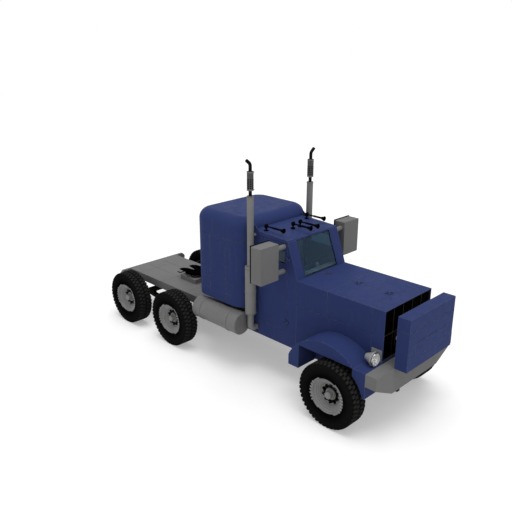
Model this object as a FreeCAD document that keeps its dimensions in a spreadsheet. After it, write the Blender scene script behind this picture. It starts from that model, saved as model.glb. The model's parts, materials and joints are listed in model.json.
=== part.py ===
import FreeCAD, Part
import math
import os
import re
import Sketcher
from FreeCAD import Placement, Rotation, Vector

# Conventional semi truck tractor unit: ladder frame, six single wheels on a steered front
# axle and a tandem, long square hood, cab with doors, sleeper, and a tilting fifth wheel.
# Millimetres.  The front points to -Y, +X is the truck's left and +Z is up.  Every y and z
# below is measured from the front wheel centres; put() adds the shift to the row's origin,
# which is the bottom centre of the whole truck's box.

SIZES = [
    # wheels and axles
    ("tyre_radius", 562.5, "outer radius of a tyre"),
    ("tyre_width", 314, "tread width"),
    ("wheel_x", 1093, "middle plane of every wheel"),
    ("rim_half", "=tyre_width * 0.4", "half the width over the tyre beads"),
    ("rim_radius", 322, "outer radius of the rim flange"),
    ("bead_step", 12, "height of the rim flange above the bead seat"),
    ("barrel_radius", 286, "inner radius of the rim barrel"),
    ("disc_radius", 182, "flat middle of the wheel disc"),
    ("dish_depth", 20, "disc face, outboard of the wheel's middle plane"),
    ("disc_wall", 14, "thickness of the wheel disc"),
    ("hub_radius", 95, "wheel hub"),
    ("hub_back", 60, "hub's inboard end, from the middle plane"),
    ("cap_radius", 62, "hub cap"),
    ("cap_out", 110, "hub cap's outer end, from the middle plane"),
    ("drum_radius", 200, "brake drum"),
    ("drum_back", 110, "brake drum's open end, from the middle plane"),
    ("wheel_nuts", 10, "wheel nuts, and hand holes between them"),
    ("nut_circle", 160, "radius of the nut circle"),
    ("nut_radius", 13, "wheel nut"),
    ("hole_circle", 134, "radius of the hand hole circle"),
    ("hand_hole", 30, "radius of a hand hole"),
    ("spindle_radius", 45, "stub axle in the hub"),
    ("fit_gap", 0.05, "radial running clearance of shafts and pins"),
    ("seat_gap", 0.3, "clearance of curved faces that seat"),
    ("mid_axle", 4053, "front axle to the first driven axle"),
    ("tandem", 1527, "first to second driven axle"),
    ("rear_axle", "=mid_axle + tandem", "front axle to the last axle"),
    ("kingpin_x", "=wheel_x - 143", "steering axis"),
    ("kingpin_radius", 20, "kingpin"),
    ("eye_radius", 40, "axle eye round the kingpin"),
    ("eye_half", 50, "half the eye's height"),
    ("lug_gap", 6, "free height between eye and knuckle lugs"),
    ("lug", 40, "thickness of a knuckle lug"),
    ("arm_reach", 190, "steering arm from the axle to the tie rod pin"),
    ("tie_drop", "=eye_half + lug_gap + lug + 17", "tie rod below the wheel centre"),
    # frame
    ("rail_x", 430, "outer face of a frame rail"),
    ("rail_flange", 80, "rail flange width"),
    ("rail_wall", 9, "rail wall"),
    ("rail_bottom", 105, "rail underside above the wheel centre"),
    ("rail_top", 365, "rail top above the wheel centre"),
    ("deck_plate", 12.5, "deck plate thickness"),
    ("deck_top", "=rail_top + deck_plate", "top of the deck"),
    ("deck_x", "=cab_x - 5", "half width of the deck"),
    ("deck_skirt", 165, "depth of the deck's side band"),
    ("frame_rear", "=rear_axle + 677", "rear end of frame and deck"),
    ("lamp_small", 42, "radius of a tail lamp's pocket"),
    ("tow_hole", 22, "hole of a tow eye"),
    ("seam", 7, "width of a panel seam"),
    ("seam_depth", 4, "depth of a panel seam"),
    # front end
    ("bumper_x", 1117, "half width of the bumper"),
    ("bumper_back", "=0 - tyre_radius - 70.5", "rear of the bumper"),
    ("bumper_front", "=bumper_back - 203", "front face of the bumper"),
    ("bumper_low", 398.5, "bottom of the bumper ends"),
    ("bumper_top", 611.5, "top of the bumper"),
    ("chin_low", 172.5, "bottom of the bumper's chin"),
    ("chin_x", "=cab_x + 3", "half width of the chin's bottom"),
    ("skin", 12, "panel thickness of hood, fenders and bumper"),
    ("box_x", "=cab_x - 3", "half width of the front box"),
    ("engine_back", 950, "rear of the engine block"),
    ("engine_low", 150, "bottom of the engine block"),
    ("box_depth", 216, "depth of the front box"),
    ("box_front", "=bumper_front - box_depth", "front of the front box"),
    ("box_top", "=hood_top - 5", "top of the front box"),
    ("lid_seam", "=box_top - 222", "seam between front box and its lid"),
    ("gap", 6, "gap round moving panels"),
    # cab and hood
    ("cab_x", 662, "half width of cab and hood"),
    ("cab_wall", 50, "cab wall and door thickness"),
    ("cab_low", 182.5, "lower edge of the cab sides"),
    ("floor_low", 430, "underside of the cab floor"),
    ("floor_top", 460, "top of the cab floor"),
    ("hood_front", "=bumper_back + 15", "front edge of the grille shell"),
    ("shell_back", "=hood_front + 227", "rear edge of the grille shell"),
    ("hood_top", 1484.5, "flat top of the hood"),
    ("hood_seam", 1034.5, "top of the fixed side panels"),
    ("hood_split", 494, "cross seam of the hood"),
    ("spine_half", 25, "half width of the hood's fixed spine"),
    ("hood_barrel", 9, "radius of the hood's hinge barrels"),
    ("hood_hinge_x", "=spine_half + 3", "hood hinge axis"),
    ("hood_hinge_z", "=hood_top + 10", "hood hinge axis"),
    ("panel_low", 587.5, "lower edge of the side panels over the wheel"),
    ("cowl", 1155, "cab front and windscreen base"),
    ("roof_front", "=cowl + 235", "front edge of the roof"),
    ("roof_front_z", 2137, "height of the roof's front edge"),
    ("roof_back_z", 2174, "height of the roof's rear edge"),
    ("roof_wall", 30, "thickness of the roof"),
    ("screen_lean", "=roof_front - cowl - 11", "run of the windscreen from its base to the roof"),
    ("cab_back", 2190, "cab rear wall and sleeper front"),
    ("heel_back", "=cab_back + 160", "rear of the cab's lower part"),
    ("heel_top", 640, "top of the cab's lower part"),
    ("glass", 6, "pane thickness"),
    ("screen_x", "=cab_x - 226", "half width of the windscreen"),
    ("door_front", "=cowl + 220", "front edge of the door opening"),
    ("door_back", "=cab_back - 155", "rear edge of the door opening"),
    ("door_top", "=roof_front_z - 59", "top of the door opening"),
    ("window_low", 1717, "lower edge of the door window"),
    ("window_top", "=door_top - 138", "upper edge of the door window"),
    ("window_rim", 60, "door frame beside its window"),
    ("hinge_x", "=cab_x + 15", "door hinge axis"),
    ("hinge_y", "=door_front + 3", "door hinge axis"),
    ("hinge_pin", 6, "radius of a door hinge pin"),
    ("hinge_barrel", 11, "radius of a door hinge barrel"),
    ("horn_z", "=roof_front_z + 111", "axis of the air horns"),
    ("hatch_x", 430, "half width of the way into the sleeper"),
    ("hatch_top", 1880, "top of the way into the sleeper"),
    # fenders
    ("fender_x", 1110, "outer face of a fender"),
    ("arch_y", 170, "centre of the fender arch"),
    ("arch_radius", "=tyre_radius + 272.5", "outer radius of the fender arch"),
    ("sweep_gap", 53.5, "wheel opening outside the tyre, for steering"),
    ("fender_low", 172.5, "bottom of the fender's front"),
    ("guard_front", "=tyre_radius + 137.5", "front face of the rear mudguard"),
    ("guard_back", "=guard_front + 220", "rear face of the rear mudguard"),
    ("fender_nose", "=bumper_back + 248", "rear of the fender's flat nose"),
    ("apron_front", "=guard_front - 170", "front edge of the side panels' low part"),
    ("lamp_x", "=cab_x + 148", "headlamp centre"),
    ("lamp_z", "=bumper_top + 120.5", "headlamp centre"),
    ("lamp_radius", 113, "headlamp shell"),
    # sleeper, tanks and stacks
    ("sleeper_x", "=cab_x + 238", "half width of the sleeper"),
    ("sleeper_back", "=cab_back + 1430", "rear of the sleeper"),
    ("sleeper_low", "=tyre_radius + 111", "bottom of the sleeper"),
    ("sleeper_top", 2367.5, "top of the sleeper"),
    ("sleeper_seam", 1934, "seam under the sleeper's cap"),
    ("sleeper_corner", 350, "radius of the sleeper's upright corners"),
    ("sleeper_crown", 200, "radius of the sleeper's top edges"),
    ("sleeper_wall", 40, "sleeper wall"),
    ("bunk_top", "=sleeper_low + 420", "top of the bunk"),
    ("tank_x", "=deck_x + 28 + tank_radius", "fuel tank centre line"),
    ("tank_z", 395, "fuel tank centre height"),
    ("tank_radius", 215, "fuel tank radius"),
    ("tank_front", "=cab_back + 62", "front end of the fuel tanks"),
    ("tank_room", 25, "free space between tank and tyre"),
    ("stack_x", "=cab_x + 127", "exhaust stack centre"),
    ("stack_y", "=cab_back - 42", "exhaust stack centre"),
    ("muffler_radius", 100, "heat shielded lower stack"),
    ("muffler_low", 607, "bottom of the lower stack"),
    ("muffler_top", 1524.5, "top of the lower stack"),
    ("pipe_radius", 60, "upper stack pipe"),
    ("pipe_top", 2809.5, "top of the upper stack pipe"),
    ("thin_radius", 30, "black outlet pipe"),
    ("silencer_radius", 58, "louvred outlet silencer"),
    ("silencer_low", 2904.5, "bottom of the outlet silencer"),
    ("silencer_top", 3234.5, "top of the outlet silencer"),
    ("tip_turn", 3322.5, "height where the tip turns outwards"),
    ("tip_bend", 80, "bend radius of the tip"),
    ("tip_angle", 52, "bend of the tip, degrees"),
    ("elbow_z", 300, "height of the pipe under the cab"),
    ("elbow_bend", 100, "bend radius of the pipe's elbow"),
    # mirrors
    ("mirror_in", "=cab_x + 231", "inner side of a mirror housing"),
    ("mirror_wide", 429, "width of a mirror housing"),
    ("mirror_front", "=door_front - 3", "front of a mirror housing"),
    ("mirror_deep", 228, "depth of a mirror housing"),
    ("mirror_low", 1503.5, "bottom of a mirror housing"),
    ("mirror_top", 2145.5, "top of a mirror housing"),
    ("mirror_arm", 44, "radius of a mirror arm"),
    ("mirror_arm_y", "=mirror_front + 88", "mirror arm centre"),
    ("mirror_arm_low", 1584.5, "lower mirror arm"),
    ("mirror_arm_high", "=door_top - 54", "upper mirror arm"),
    # fifth wheel
    ("hitch_y", "=mid_axle + 577", "kingpin lock of the fifth wheel"),
    ("hitch_radius", 250, "radius of the fifth wheel plate"),
    ("hitch_top", 585, "top of the fifth wheel plate"),
    ("hitch_plate", 40, "thickness of the fifth wheel plate"),
    ("hitch_axis", 515, "tilt axis of the fifth wheel"),
    ("plinth_top", 480, "top of the fifth wheel plinth"),
    ("plinth_half", 250, "half side of the fifth wheel plinth"),
    ("lock_radius", 25.6, "radius of the kingpin lock"),
    ("pin_radius", 12, "trunnion, tie rod and steering shaft"),
    # cab interior
    ("inside_x", "=cab_x - cab_wall - gap", "half width between the doors' inner faces"),
    ("steer_x", 300, "driver's centre line"),
    ("steer_y", "=door_front + 185", "steering wheel hub"),
    ("steer_z", 1500, "steering wheel hub"),
    ("steer_radius", 225, "steering wheel radius"),
    ("steer_tilt", 35, "steering column lean from upright, degrees"),
    ("seat_y", "=door_back - 475", "front of the seat cushions"),
    # row origin
    ("origin_y", "=0 - (frame_rear + box_front) / 2", "front axle in the row's frame"),
]
NAMES = {alias for alias, size, meaning in SIZES}

doc = FreeCAD.newDocument("tractor_unit")
sheet = doc.addObject("Spreadsheet::Sheet", "sizes")
for row, (alias, size, meaning) in enumerate(SIZES, start=1):
    sheet.set(f"A{row}", meaning)
    sheet.set(f"B{row}", str(size))
    sheet.setAlias(f"B{row}", alias)
doc.recompute()

PIECES = []
TURN_TO = {
    "x": Rotation(Vector(0, 1, 0), 90),
    "y": Rotation(Vector(1, 0, 0), -90),
    "z": Rotation(),
}


def bind(text):
    """Names of sizes become references to the sheet."""
    def refer(word):
        return "sizes." + word.group(0) if word.group(0) in NAMES else word.group(0)
    return re.sub(r"[a-z_][a-z_0-9]*", refer, str(text))


def put(item, x, y, z, turn=Rotation()):
    """Places an item at a point measured from the front wheel centres."""
    item.Placement = Placement(Vector(), turn)
    item.setExpression(".Placement.Base.x", bind(x))
    item.setExpression(".Placement.Base.y", bind(f"{y} + origin_y"))
    item.setExpression(".Placement.Base.z", bind(f"{z} + tyre_radius"))
    return item


def box(x, y, z):
    """x, y and z are each a low and a high side."""
    item = doc.addObject("Part::Box", "box")
    for side, (low, high) in zip(("Length", "Width", "Height"), (x, y, z)):
        item.setExpression(side, bind(f"({high}) - ({low})"))
    return put(item, x[0], y[0], z[0])


def rod(axis, radius, start, length):
    """A round bar along x, y or z from its start point."""
    item = doc.addObject("Part::Cylinder", "rod")
    item.setExpression("Radius", bind(radius))
    item.setExpression("Height", bind(length))
    return put(item, *start, turn=TURN_TO[axis])


def taper(axis, radius, end_radius, start, length):
    item = doc.addObject("Part::Cone", "taper")
    item.setExpression("Radius1", bind(radius))
    item.setExpression("Radius2", bind(end_radius))
    item.setExpression("Height", bind(length))
    return put(item, *start, turn=TURN_TO[axis])


def outline(sketch, corners):
    """Closed outline of straight lines; each corner's two distances are bound to the sheet."""
    count = len(corners)
    spots = [Vector(900 * math.cos(2 * math.pi * i / count), 900 * math.sin(2 * math.pi * i / count), 0)
             for i in range(count)]
    for i in range(count):
        sketch.addGeometry(Part.LineSegment(spots[i], spots[(i + 1) % count]), False)
    for i in range(count):
        sketch.addConstraint(Sketcher.Constraint("Coincident", i, 2, (i + 1) % count, 1))
    for i, corner in enumerate(corners):
        for kind, start, axis, text in zip(("DistanceX", "DistanceY"), spots[i], (-2, -1), corner):
            if str(text) == "0":
                sketch.addConstraint(Sketcher.Constraint("PointOnObject", i, 1, axis))
                continue
            index = sketch.addConstraint(Sketcher.Constraint(kind, -1, 1, i, 1, start))
            sketch.setExpression(f"Constraints[{index}]", bind(text))


def bend(radius, pipe, centre, angle, turn):
    """A bent pipe, from the x axis of its turn towards the y axis."""
    item = doc.addObject("Part::Torus", "bend")
    item.setExpression("Radius1", bind(radius))
    item.setExpression("Radius2", bind(pipe))
    item.Angle3 = angle
    return put(item, *centre, turn=turn)


def prism(plane, low, high, corners):
    """A straight-sided outline in the yz, xz or xy plane, pushed from low to high across it."""
    sketch = doc.addObject("Sketcher::SketchObject", "outline")
    outline(sketch, corners)
    if plane == "yz":
        put(sketch, low, "0", "0", Rotation(Vector(1, 1, 1), 120))
        way = Vector(1, 0, 0)
    elif plane == "xz":
        put(sketch, "0", low, "0", Rotation(Vector(1, 0, 0), 90))
        way = Vector(0, 1, 0)
    else:
        put(sketch, "0", "0", low)
        way = Vector(0, 0, 1)
    item = doc.addObject("Part::Extrusion", "prism")
    item.Base = sketch
    item.DirMode = "Custom"
    item.Dir = way
    item.setExpression("LengthFwd", bind(f"({high}) - ({low})"))
    item.Solid = True
    return item


def join(*items):
    item = doc.addObject("Part::MultiFuse", "join")
    item.Shapes = list(items)
    item.Refine = True
    return item


def cut(base, *tools):
    item = doc.addObject("Part::Cut", "cut")
    item.Base = base
    item.Tool = tools[0] if len(tools) == 1 else join(*tools)
    return item


def common(*items):
    item = doc.addObject("Part::MultiCommon", "common")
    item.Shapes = list(items)
    return item


def group(*items):
    """Like pieces of one node that don't touch."""
    item = doc.addObject("Part::Compound", "group")
    item.Links = list(items)
    return item


def rounded(base, radius, chosen):
    """Rounds the edges that the test picks; it gets each edge's box."""
    doc.recompute()
    item = doc.addObject("Part::Fillet", "rounded")
    item.Base = base
    size = sheet.get(radius) if isinstance(radius, str) else radius
    item.Edges = [(i, size, size) for i, edge in enumerate(base.Shape.Edges, 1) if chosen(edge.BoundBox)]
    return item


def both(item):
    """A piece of the left side with its twin on the right, in one node."""
    return group(item, mirrored(item))


def seams(*boxes):
    """Panel seams: shallow slots, on both sides of the truck."""
    slots = [box(*spans) for spans in boxes]
    return slots + [mirrored(slot) for slot in slots]


def mirrored(item):
    twin = doc.addObject("Part::Mirroring", "mirrored")
    twin.Source = item
    twin.Normal = Vector(1, 0, 0)
    return twin


def piece(label, item):
    item.Label = label
    PIECES.append(item)
    return item


def origin_plane(body, role):
    return next(f for f in body.Origin.OriginFeatures if f.Role == role)


def turned(label, section):
    """A body turned round its own x axis; section corners are (along, radius)."""
    body = doc.addObject("PartDesign::Body", label)
    sketch = body.newObject("Sketcher::SketchObject", "section")
    sketch.AttachmentSupport = [(origin_plane(body, "XY_Plane"), "")]
    sketch.MapMode = "FlatFace"
    outline(sketch, section)
    turn = body.newObject("PartDesign::Revolution", "turn")
    turn.Profile = sketch
    turn.ReferenceAxis = (sketch, ["H_Axis"])
    turn.Angle = 360
    body.Tip = turn
    return body


# ---------------------------------------------------------------- wheels

WHEELS = [
    # name, distance behind the front axle
    ("front", "0"),
    ("mid", "mid_axle"),
    ("rear", "rear_axle"),
]
TYRE_SECTION = [
    # along the axle from the middle plane, radius; the other half mirrors it
    ("rim_half", "rim_radius - bead_step"),
    ("rim_half", "rim_radius + 1"),
    ("tyre_width * 0.45", "rim_radius + 12"),
    ("tyre_width * 0.49", "rim_radius + 60"),
    ("tyre_width * 0.50", "(rim_radius + tyre_radius) / 2"),
    ("tyre_width * 0.495", "tyre_radius - 62"),
    ("tyre_width * 0.48", "tyre_radius - 24"),
    ("tyre_width * 0.455", "tyre_radius - 6"),
    ("tyre_width * 0.43", "tyre_radius"),
]
RIM_SECTION = [
    # inboard flange and barrel, then the back of the dish
    ("0 - rim_half", "rim_radius - bead_step"),
    ("0 - rim_half", "rim_radius"),
    ("0 - rim_half - 6", "rim_radius"),
    ("0 - rim_half - 6", "rim_radius - 20"),
    ("8 - rim_half", "barrel_radius"),
    ("52", "barrel_radius"),
    ("40", "barrel_radius - 40"),
    ("dish_depth + 16 - disc_wall", "disc_radius + 24"),
    ("dish_depth - disc_wall", "disc_radius"),
    ("dish_depth - disc_wall", "hub_radius"),
    # hub, brake drum and bearing bore
    ("20 - hub_back", "hub_radius"),
    ("20 - hub_back", "drum_radius"),
    ("0 - drum_back", "drum_radius"),
    ("0 - drum_back", "drum_radius - 12"),
    ("8 - hub_back", "drum_radius - 12"),
    ("8 - hub_back", "hub_radius - 10"),
    ("0 - hub_back", "hub_radius - 10"),
    ("0 - hub_back", "spindle_radius + fit_gap"),
    ("hub_back", "spindle_radius + fit_gap"),
    ("hub_back", "0"),
    # hub cap
    ("cap_out", "0"),
    ("cap_out", "cap_radius - 10"),
    ("cap_out - 10", "cap_radius"),
    ("dish_depth + 18", "cap_radius + 5"),
    ("dish_depth + 18", "hub_radius - 10"),
    ("dish_depth", "hub_radius - 3"),
    # face of the dish, stepped twice
    ("dish_depth", "disc_radius"),
    ("dish_depth + 30", "disc_radius + 22"),
    ("dish_depth + 36", "disc_radius + 40"),
    ("dish_depth + 46", "disc_radius + 40"),
    ("dish_depth + 54", "disc_radius + 68"),
    ("dish_depth + 64", "disc_radius + 68"),
    ("dish_depth + 78", "barrel_radius - 8"),
    ("rim_half - 8", "barrel_radius"),
    ("rim_half + 6", "rim_radius - 20"),
    ("rim_half + 6", "rim_radius"),
    ("rim_half", "rim_radius"),
    ("rim_half", "rim_radius - bead_step"),
]


def add_pattern(body, feature, count):
    pattern = body.newObject("PartDesign::PolarPattern", "pattern")
    pattern.Originals = [feature]
    pattern.Axis = (origin_plane(body, "X_Axis"), [""])
    pattern.Angle = 360
    pattern.setExpression("Occurrences", bind(count))
    body.Tip = pattern


def axle_circle(body, name, radius, circle):
    """A circle facing along the axle, at the top of its pitch circle."""
    sketch = body.newObject("Sketcher::SketchObject", name)
    sketch.AttachmentSupport = [(origin_plane(body, "YZ_Plane"), "")]
    sketch.MapMode = "FlatFace"
    sketch.addGeometry(Part.Circle(Vector(0, 130, 0), Vector(0, 0, 1), 10), False)
    sketch.addConstraint(Sketcher.Constraint("PointOnObject", 0, 3, -2))
    for text, constraint in ((circle, Sketcher.Constraint("DistanceY", -1, 1, 0, 3, 130)),
                             (radius, Sketcher.Constraint("Radius", 0, 10))):
        index = sketch.addConstraint(constraint)
        sketch.setExpression(f"Constraints[{index}]", bind(text))
    return sketch


def make_tyre(label):
    back = [(f"0 - ({along})", radius) for along, radius in reversed(TYRE_SECTION)]
    return turned(label, TYRE_SECTION + back)


def make_rim(label):
    """Rim, dished disc, hub and brake drum, with hand holes and wheel nuts round the hub."""
    body = turned(label, RIM_SECTION)
    doc.recompute()
    hole = body.newObject("PartDesign::Pocket", "hand_hole")
    hole.Profile = axle_circle(body, "hole_outline", "hand_hole", "hole_circle")
    hole.Midplane = True
    hole.setExpression("Length", bind("2 * (dish_depth + 10)"))
    add_pattern(body, hole, "wheel_nuts")
    doc.recompute()
    nut = body.newObject("PartDesign::Pad", "wheel_nut")
    nut.Profile = axle_circle(body, "nut_outline", "nut_radius", "nut_circle")
    nut.setExpression("Length", bind("dish_depth + 20"))
    add_pattern(body, nut, "wheel_nuts")
    return body


def make_wheels():
    for name, y in WHEELS:
        for side, x, turn in (("left", "wheel_x", Rotation()),
                              ("right", "0 - wheel_x", Rotation(Vector(0, 0, 1), 180))):
            for kind, maker in (("tyre", make_tyre), ("rim", make_rim)):
                PIECES.append(put(maker(f"{kind}_{name}_{side}"), x, y, "0", turn))


# ---------------------------------------------------------------- axles and steering

def make_front_axle():
    beam = prism("xz", "0 - 45", "45", [
        ("0 - kingpin_x + 20", "0 - 40"), ("0 - 700", "0 - 40"), ("0 - 560", "0 - 100"),
        ("560", "0 - 100"), ("700", "0 - 40"), ("kingpin_x - 20", "0 - 40"),
        ("kingpin_x - 20", "40"), ("680", "40"), ("540", "0 - 20"),
        ("0 - 540", "0 - 20"), ("0 - 680", "40"), ("0 - kingpin_x + 20", "40")])
    eyes, bores = [], []
    for x in ("kingpin_x", "0 - kingpin_x"):
        eyes.append(rod("z", "eye_radius", (x, "0", "0 - eye_half"), "2 * eye_half"))
        bores.append(rod("z", "kingpin_radius + fit_gap", (x, "0", "0 - eye_half - 1"), "2 * eye_half + 2"))
    piece("front_axle", cut(join(beam, *eyes), *bores))


def make_knuckle():
    low, high = "eye_half + lug_gap", "eye_half + lug_gap + lug"
    parts = [
        box(("kingpin_x - 40", "kingpin_x + 60"), ("0 - 40", "40"), (low, high)),
        box(("kingpin_x - 40", "kingpin_x + 60"), ("0 - 40", "40"), (f"0 - ({high})", f"0 - ({low})")),
        box(("kingpin_x + 50", "kingpin_x + 75"), ("0 - 40", "40"), (f"0 - ({high})", high)),
        rod("x", "spindle_radius", ("kingpin_x + 70", "0", "0"), "wheel_x + hub_back - 3 - kingpin_x - 70"),
        rod("z", "kingpin_radius", ("kingpin_x", "0", f"0 - ({high})"), f"2 * ({high})"),
        box(("kingpin_x - 22", "kingpin_x + 22"), ("0", "arm_reach"),
            (f"0 - ({high})", f"0 - ({high}) + 24")),
        rod("z", "22", ("kingpin_x", "arm_reach", f"0 - ({high})"), "24"),
        rod("z", "pin_radius", ("kingpin_x", "arm_reach", f"0 - ({high}) - 34"), "40"),
    ]
    left = piece("knuckle_left", join(*parts))
    piece("knuckle_right", mirrored(left))


def make_tie_rod():
    ends, bores = [], []
    for x in ("kingpin_x", "0 - kingpin_x"):
        ends.append(rod("z", "26", (x, "arm_reach", "0 - tie_drop - 14"), "28"))
        bores.append(rod("z", "pin_radius + fit_gap", (x, "arm_reach", "0 - tie_drop - 20"), "40"))
    bar = rod("x", "13", ("0 - kingpin_x", "arm_reach", "0 - tie_drop"), "2 * kingpin_x")
    sleeves = []
    for x in ("kingpin_x - 170", "80 - kingpin_x"):
        sleeves.append(rod("x", "18", (x, "arm_reach", "0 - tie_drop"), "90"))
    piece("tie_rod", cut(join(bar, *sleeves, *ends), *bores))


def make_drive_axles():
    """Two driven axles with their differential housings, and the shafts that drive them."""
    axles = []
    for y in ("mid_axle", "rear_axle"):
        parts = [
            rod("x", "65", ("0 - wheel_x + hub_back + 10", y, "0"), "2 * (wheel_x - hub_back - 10)"),
            rod("x", "spindle_radius", ("0 - wheel_x - hub_back + 3", y, "0"),
                "2 * (wheel_x + hub_back - 3)"),
            rod("y", "185", ("0", f"{y} - 70", "0"), "140"),
            taper("y", "185", "110", ("0", f"{y} + 70", "0"), "70"),
            taper("y", "80", "185", ("0", f"{y} - 170", "0"), "100"),
            rod("y", "60", ("0", f"{y} - 255", "0"), "510"),
            rod("y", "95", ("0", f"{y} - 255", "0"), "16"),
            rod("y", "95", ("0", f"{y} + 239", "0"), "16"),
            box(("0 - 555", "0 - 465"), (f"{y} - 70", f"{y} + 70"), ("0 - 70", "0")),
            box(("465", "555"), (f"{y} - 70", f"{y} + 70"), ("0 - 70", "0")),
        ]
        axles.append(join(*parts))
    run = "(mid_axle - 255 - engine_back)"
    drop = "(engine_low + 50)"
    long_shaft = rod("z", "48", ("0", "mid_axle - 255", "0"), f"sqrt({run} ^ 2 + {drop} ^ 2)")
    long_shaft.Placement.Rotation = Rotation(Vector(1, 0, 0), 85)
    long_shaft.setExpression(".Placement.Rotation.Angle", bind(f"atan({run} / {drop})"))
    shaft_space = box(("0 - 60", "60"), ("engine_back", "mid_axle - 255"), ("0 - 120", f"{drop} + 120"))
    short_shaft = rod("y", "40", ("0", "mid_axle + 255", "0"), "tandem - 510")
    piece("drive_axles", group(*axles, common(long_shaft, shaft_space), short_shaft))


def make_suspension():
    """Front leaf springs, and the tandem's walking beams with their saddles."""
    leaf = prism("yz", "rail_x - 75", "rail_x - 5", [
        ("0 - 120", "0 - 20"), ("120", "0 - 20"), ("590", "50"), ("620", "50"), ("620", "rail_bottom"),
        ("570", "rail_bottom"), ("570", "78"), ("120", "32"), ("0 - 120", "32"), ("0 - 530", "78"),
        ("0 - 530", "rail_bottom"), ("0 - 580", "rail_bottom"), ("0 - 580", "50"), ("0 - 550", "50")])
    middle = "(mid_axle + rear_axle) / 2"
    beam = prism("yz", "465", "555", [
        ("mid_axle - 90", "0 - 130"), (f"{middle} - 150", "0 - 190"), (f"{middle} + 150", "0 - 190"),
        ("rear_axle + 90", "0 - 130"), ("rear_axle + 90", "0 - 70"), ("mid_axle - 90", "0 - 70")])
    saddle = prism("yz", "rail_x", "555", [
        (f"{middle} - 70", "0 - 120"), (f"{middle} + 70", "0 - 120"),
        (f"{middle} + 200", "rail_bottom + 40"), (f"{middle} + 200", "rail_top - 90"),
        (f"{middle} - 200", "rail_top - 90"), (f"{middle} - 200", "rail_bottom + 40")])
    beam_left = join(beam, saddle)
    piece("suspension", group(leaf, mirrored(leaf), beam_left, mirrored(beam_left)))


# ---------------------------------------------------------------- frame, deck and driveline

def make_frame():
    """Two channel rails with crossmembers, and brackets that carry the bumper."""
    members = []
    for side in ("1", "0 - 1"):
        outer, web = f"({side}) * rail_x", f"({side}) * (rail_x - rail_wall)"
        inner = f"({side}) * (rail_x - rail_flange)"
        members.append(prism("xz", "bumper_back", "frame_rear - 12", [
            (outer, "rail_bottom"), (outer, "rail_top"), (inner, "rail_top"), (inner, "rail_top - rail_wall"),
            (web, "rail_top - rail_wall"), (web, "rail_bottom + rail_wall"),
            (inner, "rail_bottom + rail_wall"), (inner, "rail_bottom")]))
    for y in ("bumper_back", "engine_back + 95", "cab_back + 60", "sleeper_back - 620", "mid_axle - 420",
              "(mid_axle + rear_axle) / 2", "rear_axle + 420"):
        members.append(box(("0 - rail_x + rail_wall", "rail_x - rail_wall"), (f"{y} - 35", f"{y} + 35"),
                           ("rail_top - 110", "rail_top - rail_wall - 1")))
    members.append(box(("0 - rail_x", "rail_x"), ("frame_rear - 24", "frame_rear - 12"),
                       ("rail_bottom", "rail_top")))
    for low, high in (("0 - rail_x", "rail_flange - rail_x"), ("rail_x - rail_flange", "rail_x")):
        members.append(box((low, high), ("bumper_front + skin", "bumper_back + 20"),
                           ("chin_low + skin + 8", "rail_top")))
    piece("chassis_frame", join(*members))


def make_deck():
    """Plates over the frame with side bands, sleeper sills, and the plinth of the fifth wheel."""
    front = "heel_back + 10"
    parts = [box(("0 - deck_x", "deck_x"), (front, "frame_rear"), ("rail_top", "deck_top"))]
    for low, high in (("0 - deck_x", "10 - deck_x"), ("deck_x - 10", "deck_x")):
        parts.append(box((low, high), (front, "frame_rear"), ("deck_top - deck_skirt", "deck_top")))
    parts.append(box(("0 - deck_x", "deck_x"), ("frame_rear - 12", "frame_rear"),
                     ("deck_top - deck_skirt", "deck_top")))
    for low, high in (("0 - 460", "0 - 380"), ("380", "460")):
        parts.append(box((low, high), ("cab_back + 220", "sleeper_back - 60"), ("deck_top", "sleeper_low")))
    parts.append(box(("0 - plinth_half", "plinth_half"), ("hitch_y - plinth_half", "hitch_y + plinth_half"),
                     ("deck_top", "plinth_top")))
    bores = []
    for low, high in (("0 - 210", "0 - 190"), ("190", "210")):
        parts.append(prism("yz", low, high, [
            ("hitch_y - 75", "plinth_top"), ("hitch_y + 75", "plinth_top"),
            ("hitch_y + 28", "hitch_axis + 20"),
            ("hitch_y - 28", "hitch_axis + 20")]))
        bores.append(rod("x", "pin_radius + fit_gap", (f"{low} - 1", "hitch_y", "hitch_axis"), "22"))
    top = ("deck_top - seam_depth", "deck_top + 1")
    behind = ("sleeper_back + 80", "frame_rear + 1")
    slots = seams((("200", "200 + seam"), behind, top))
    for y in ("hitch_y - plinth_half - 180", "hitch_y + plinth_half + 160", "frame_rear - 437"):
        slots.append(box(("0 - deck_x - 1", "deck_x + 1"), (y, f"{y} + seam"), top))
    piece("deck", cut(join(*parts), *bores, *slots))
    wing = prism("xz", "frame_rear - 60", "frame_rear", [
        ("deck_x", "deck_top - deck_skirt"), ("deck_x + 213", "deck_top - deck_skirt"),
        ("deck_x + 253", "deck_top - deck_skirt + 40"), ("deck_x + 253", "deck_top - 60"),
        ("deck_x + 193", "deck_top"), ("deck_x", "deck_top")])
    pockets, lamps = [], []
    for x in ("deck_x + 70", "deck_x + 180"):
        middle = (x, "frame_rear - 14", "deck_top - deck_skirt / 2")
        pockets.append(rod("y", "lamp_small", middle, "20"))
        lamps.append(rod("y", "lamp_small - 2", middle, "14"))
    piece("tail_bar", both(cut(wing, *pockets)))
    piece("tail_lamps", group(*lamps, *[mirrored(lamp) for lamp in lamps]))


def make_tow_eyes():
    plate = prism("yz", "rail_x - 35", "rail_x", [
        ("bumper_back - 150", "chin_low - 8"), ("bumper_back - 175", "chin_low - 33"),
        ("bumper_back - 175", "rail_bottom - 5"), ("bumper_back - 150", "rail_bottom - 30"),
        ("bumper_back - 40", "rail_bottom - 30"), ("bumper_back", "rail_bottom"),
        ("bumper_back", "chin_low - 8")])
    hole = rod("x", "tow_hole", ("rail_x - 40", "bumper_back - 130", "rail_bottom + 15"), "45")
    piece("tow_eyes", both(cut(plate, hole)))


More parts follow.
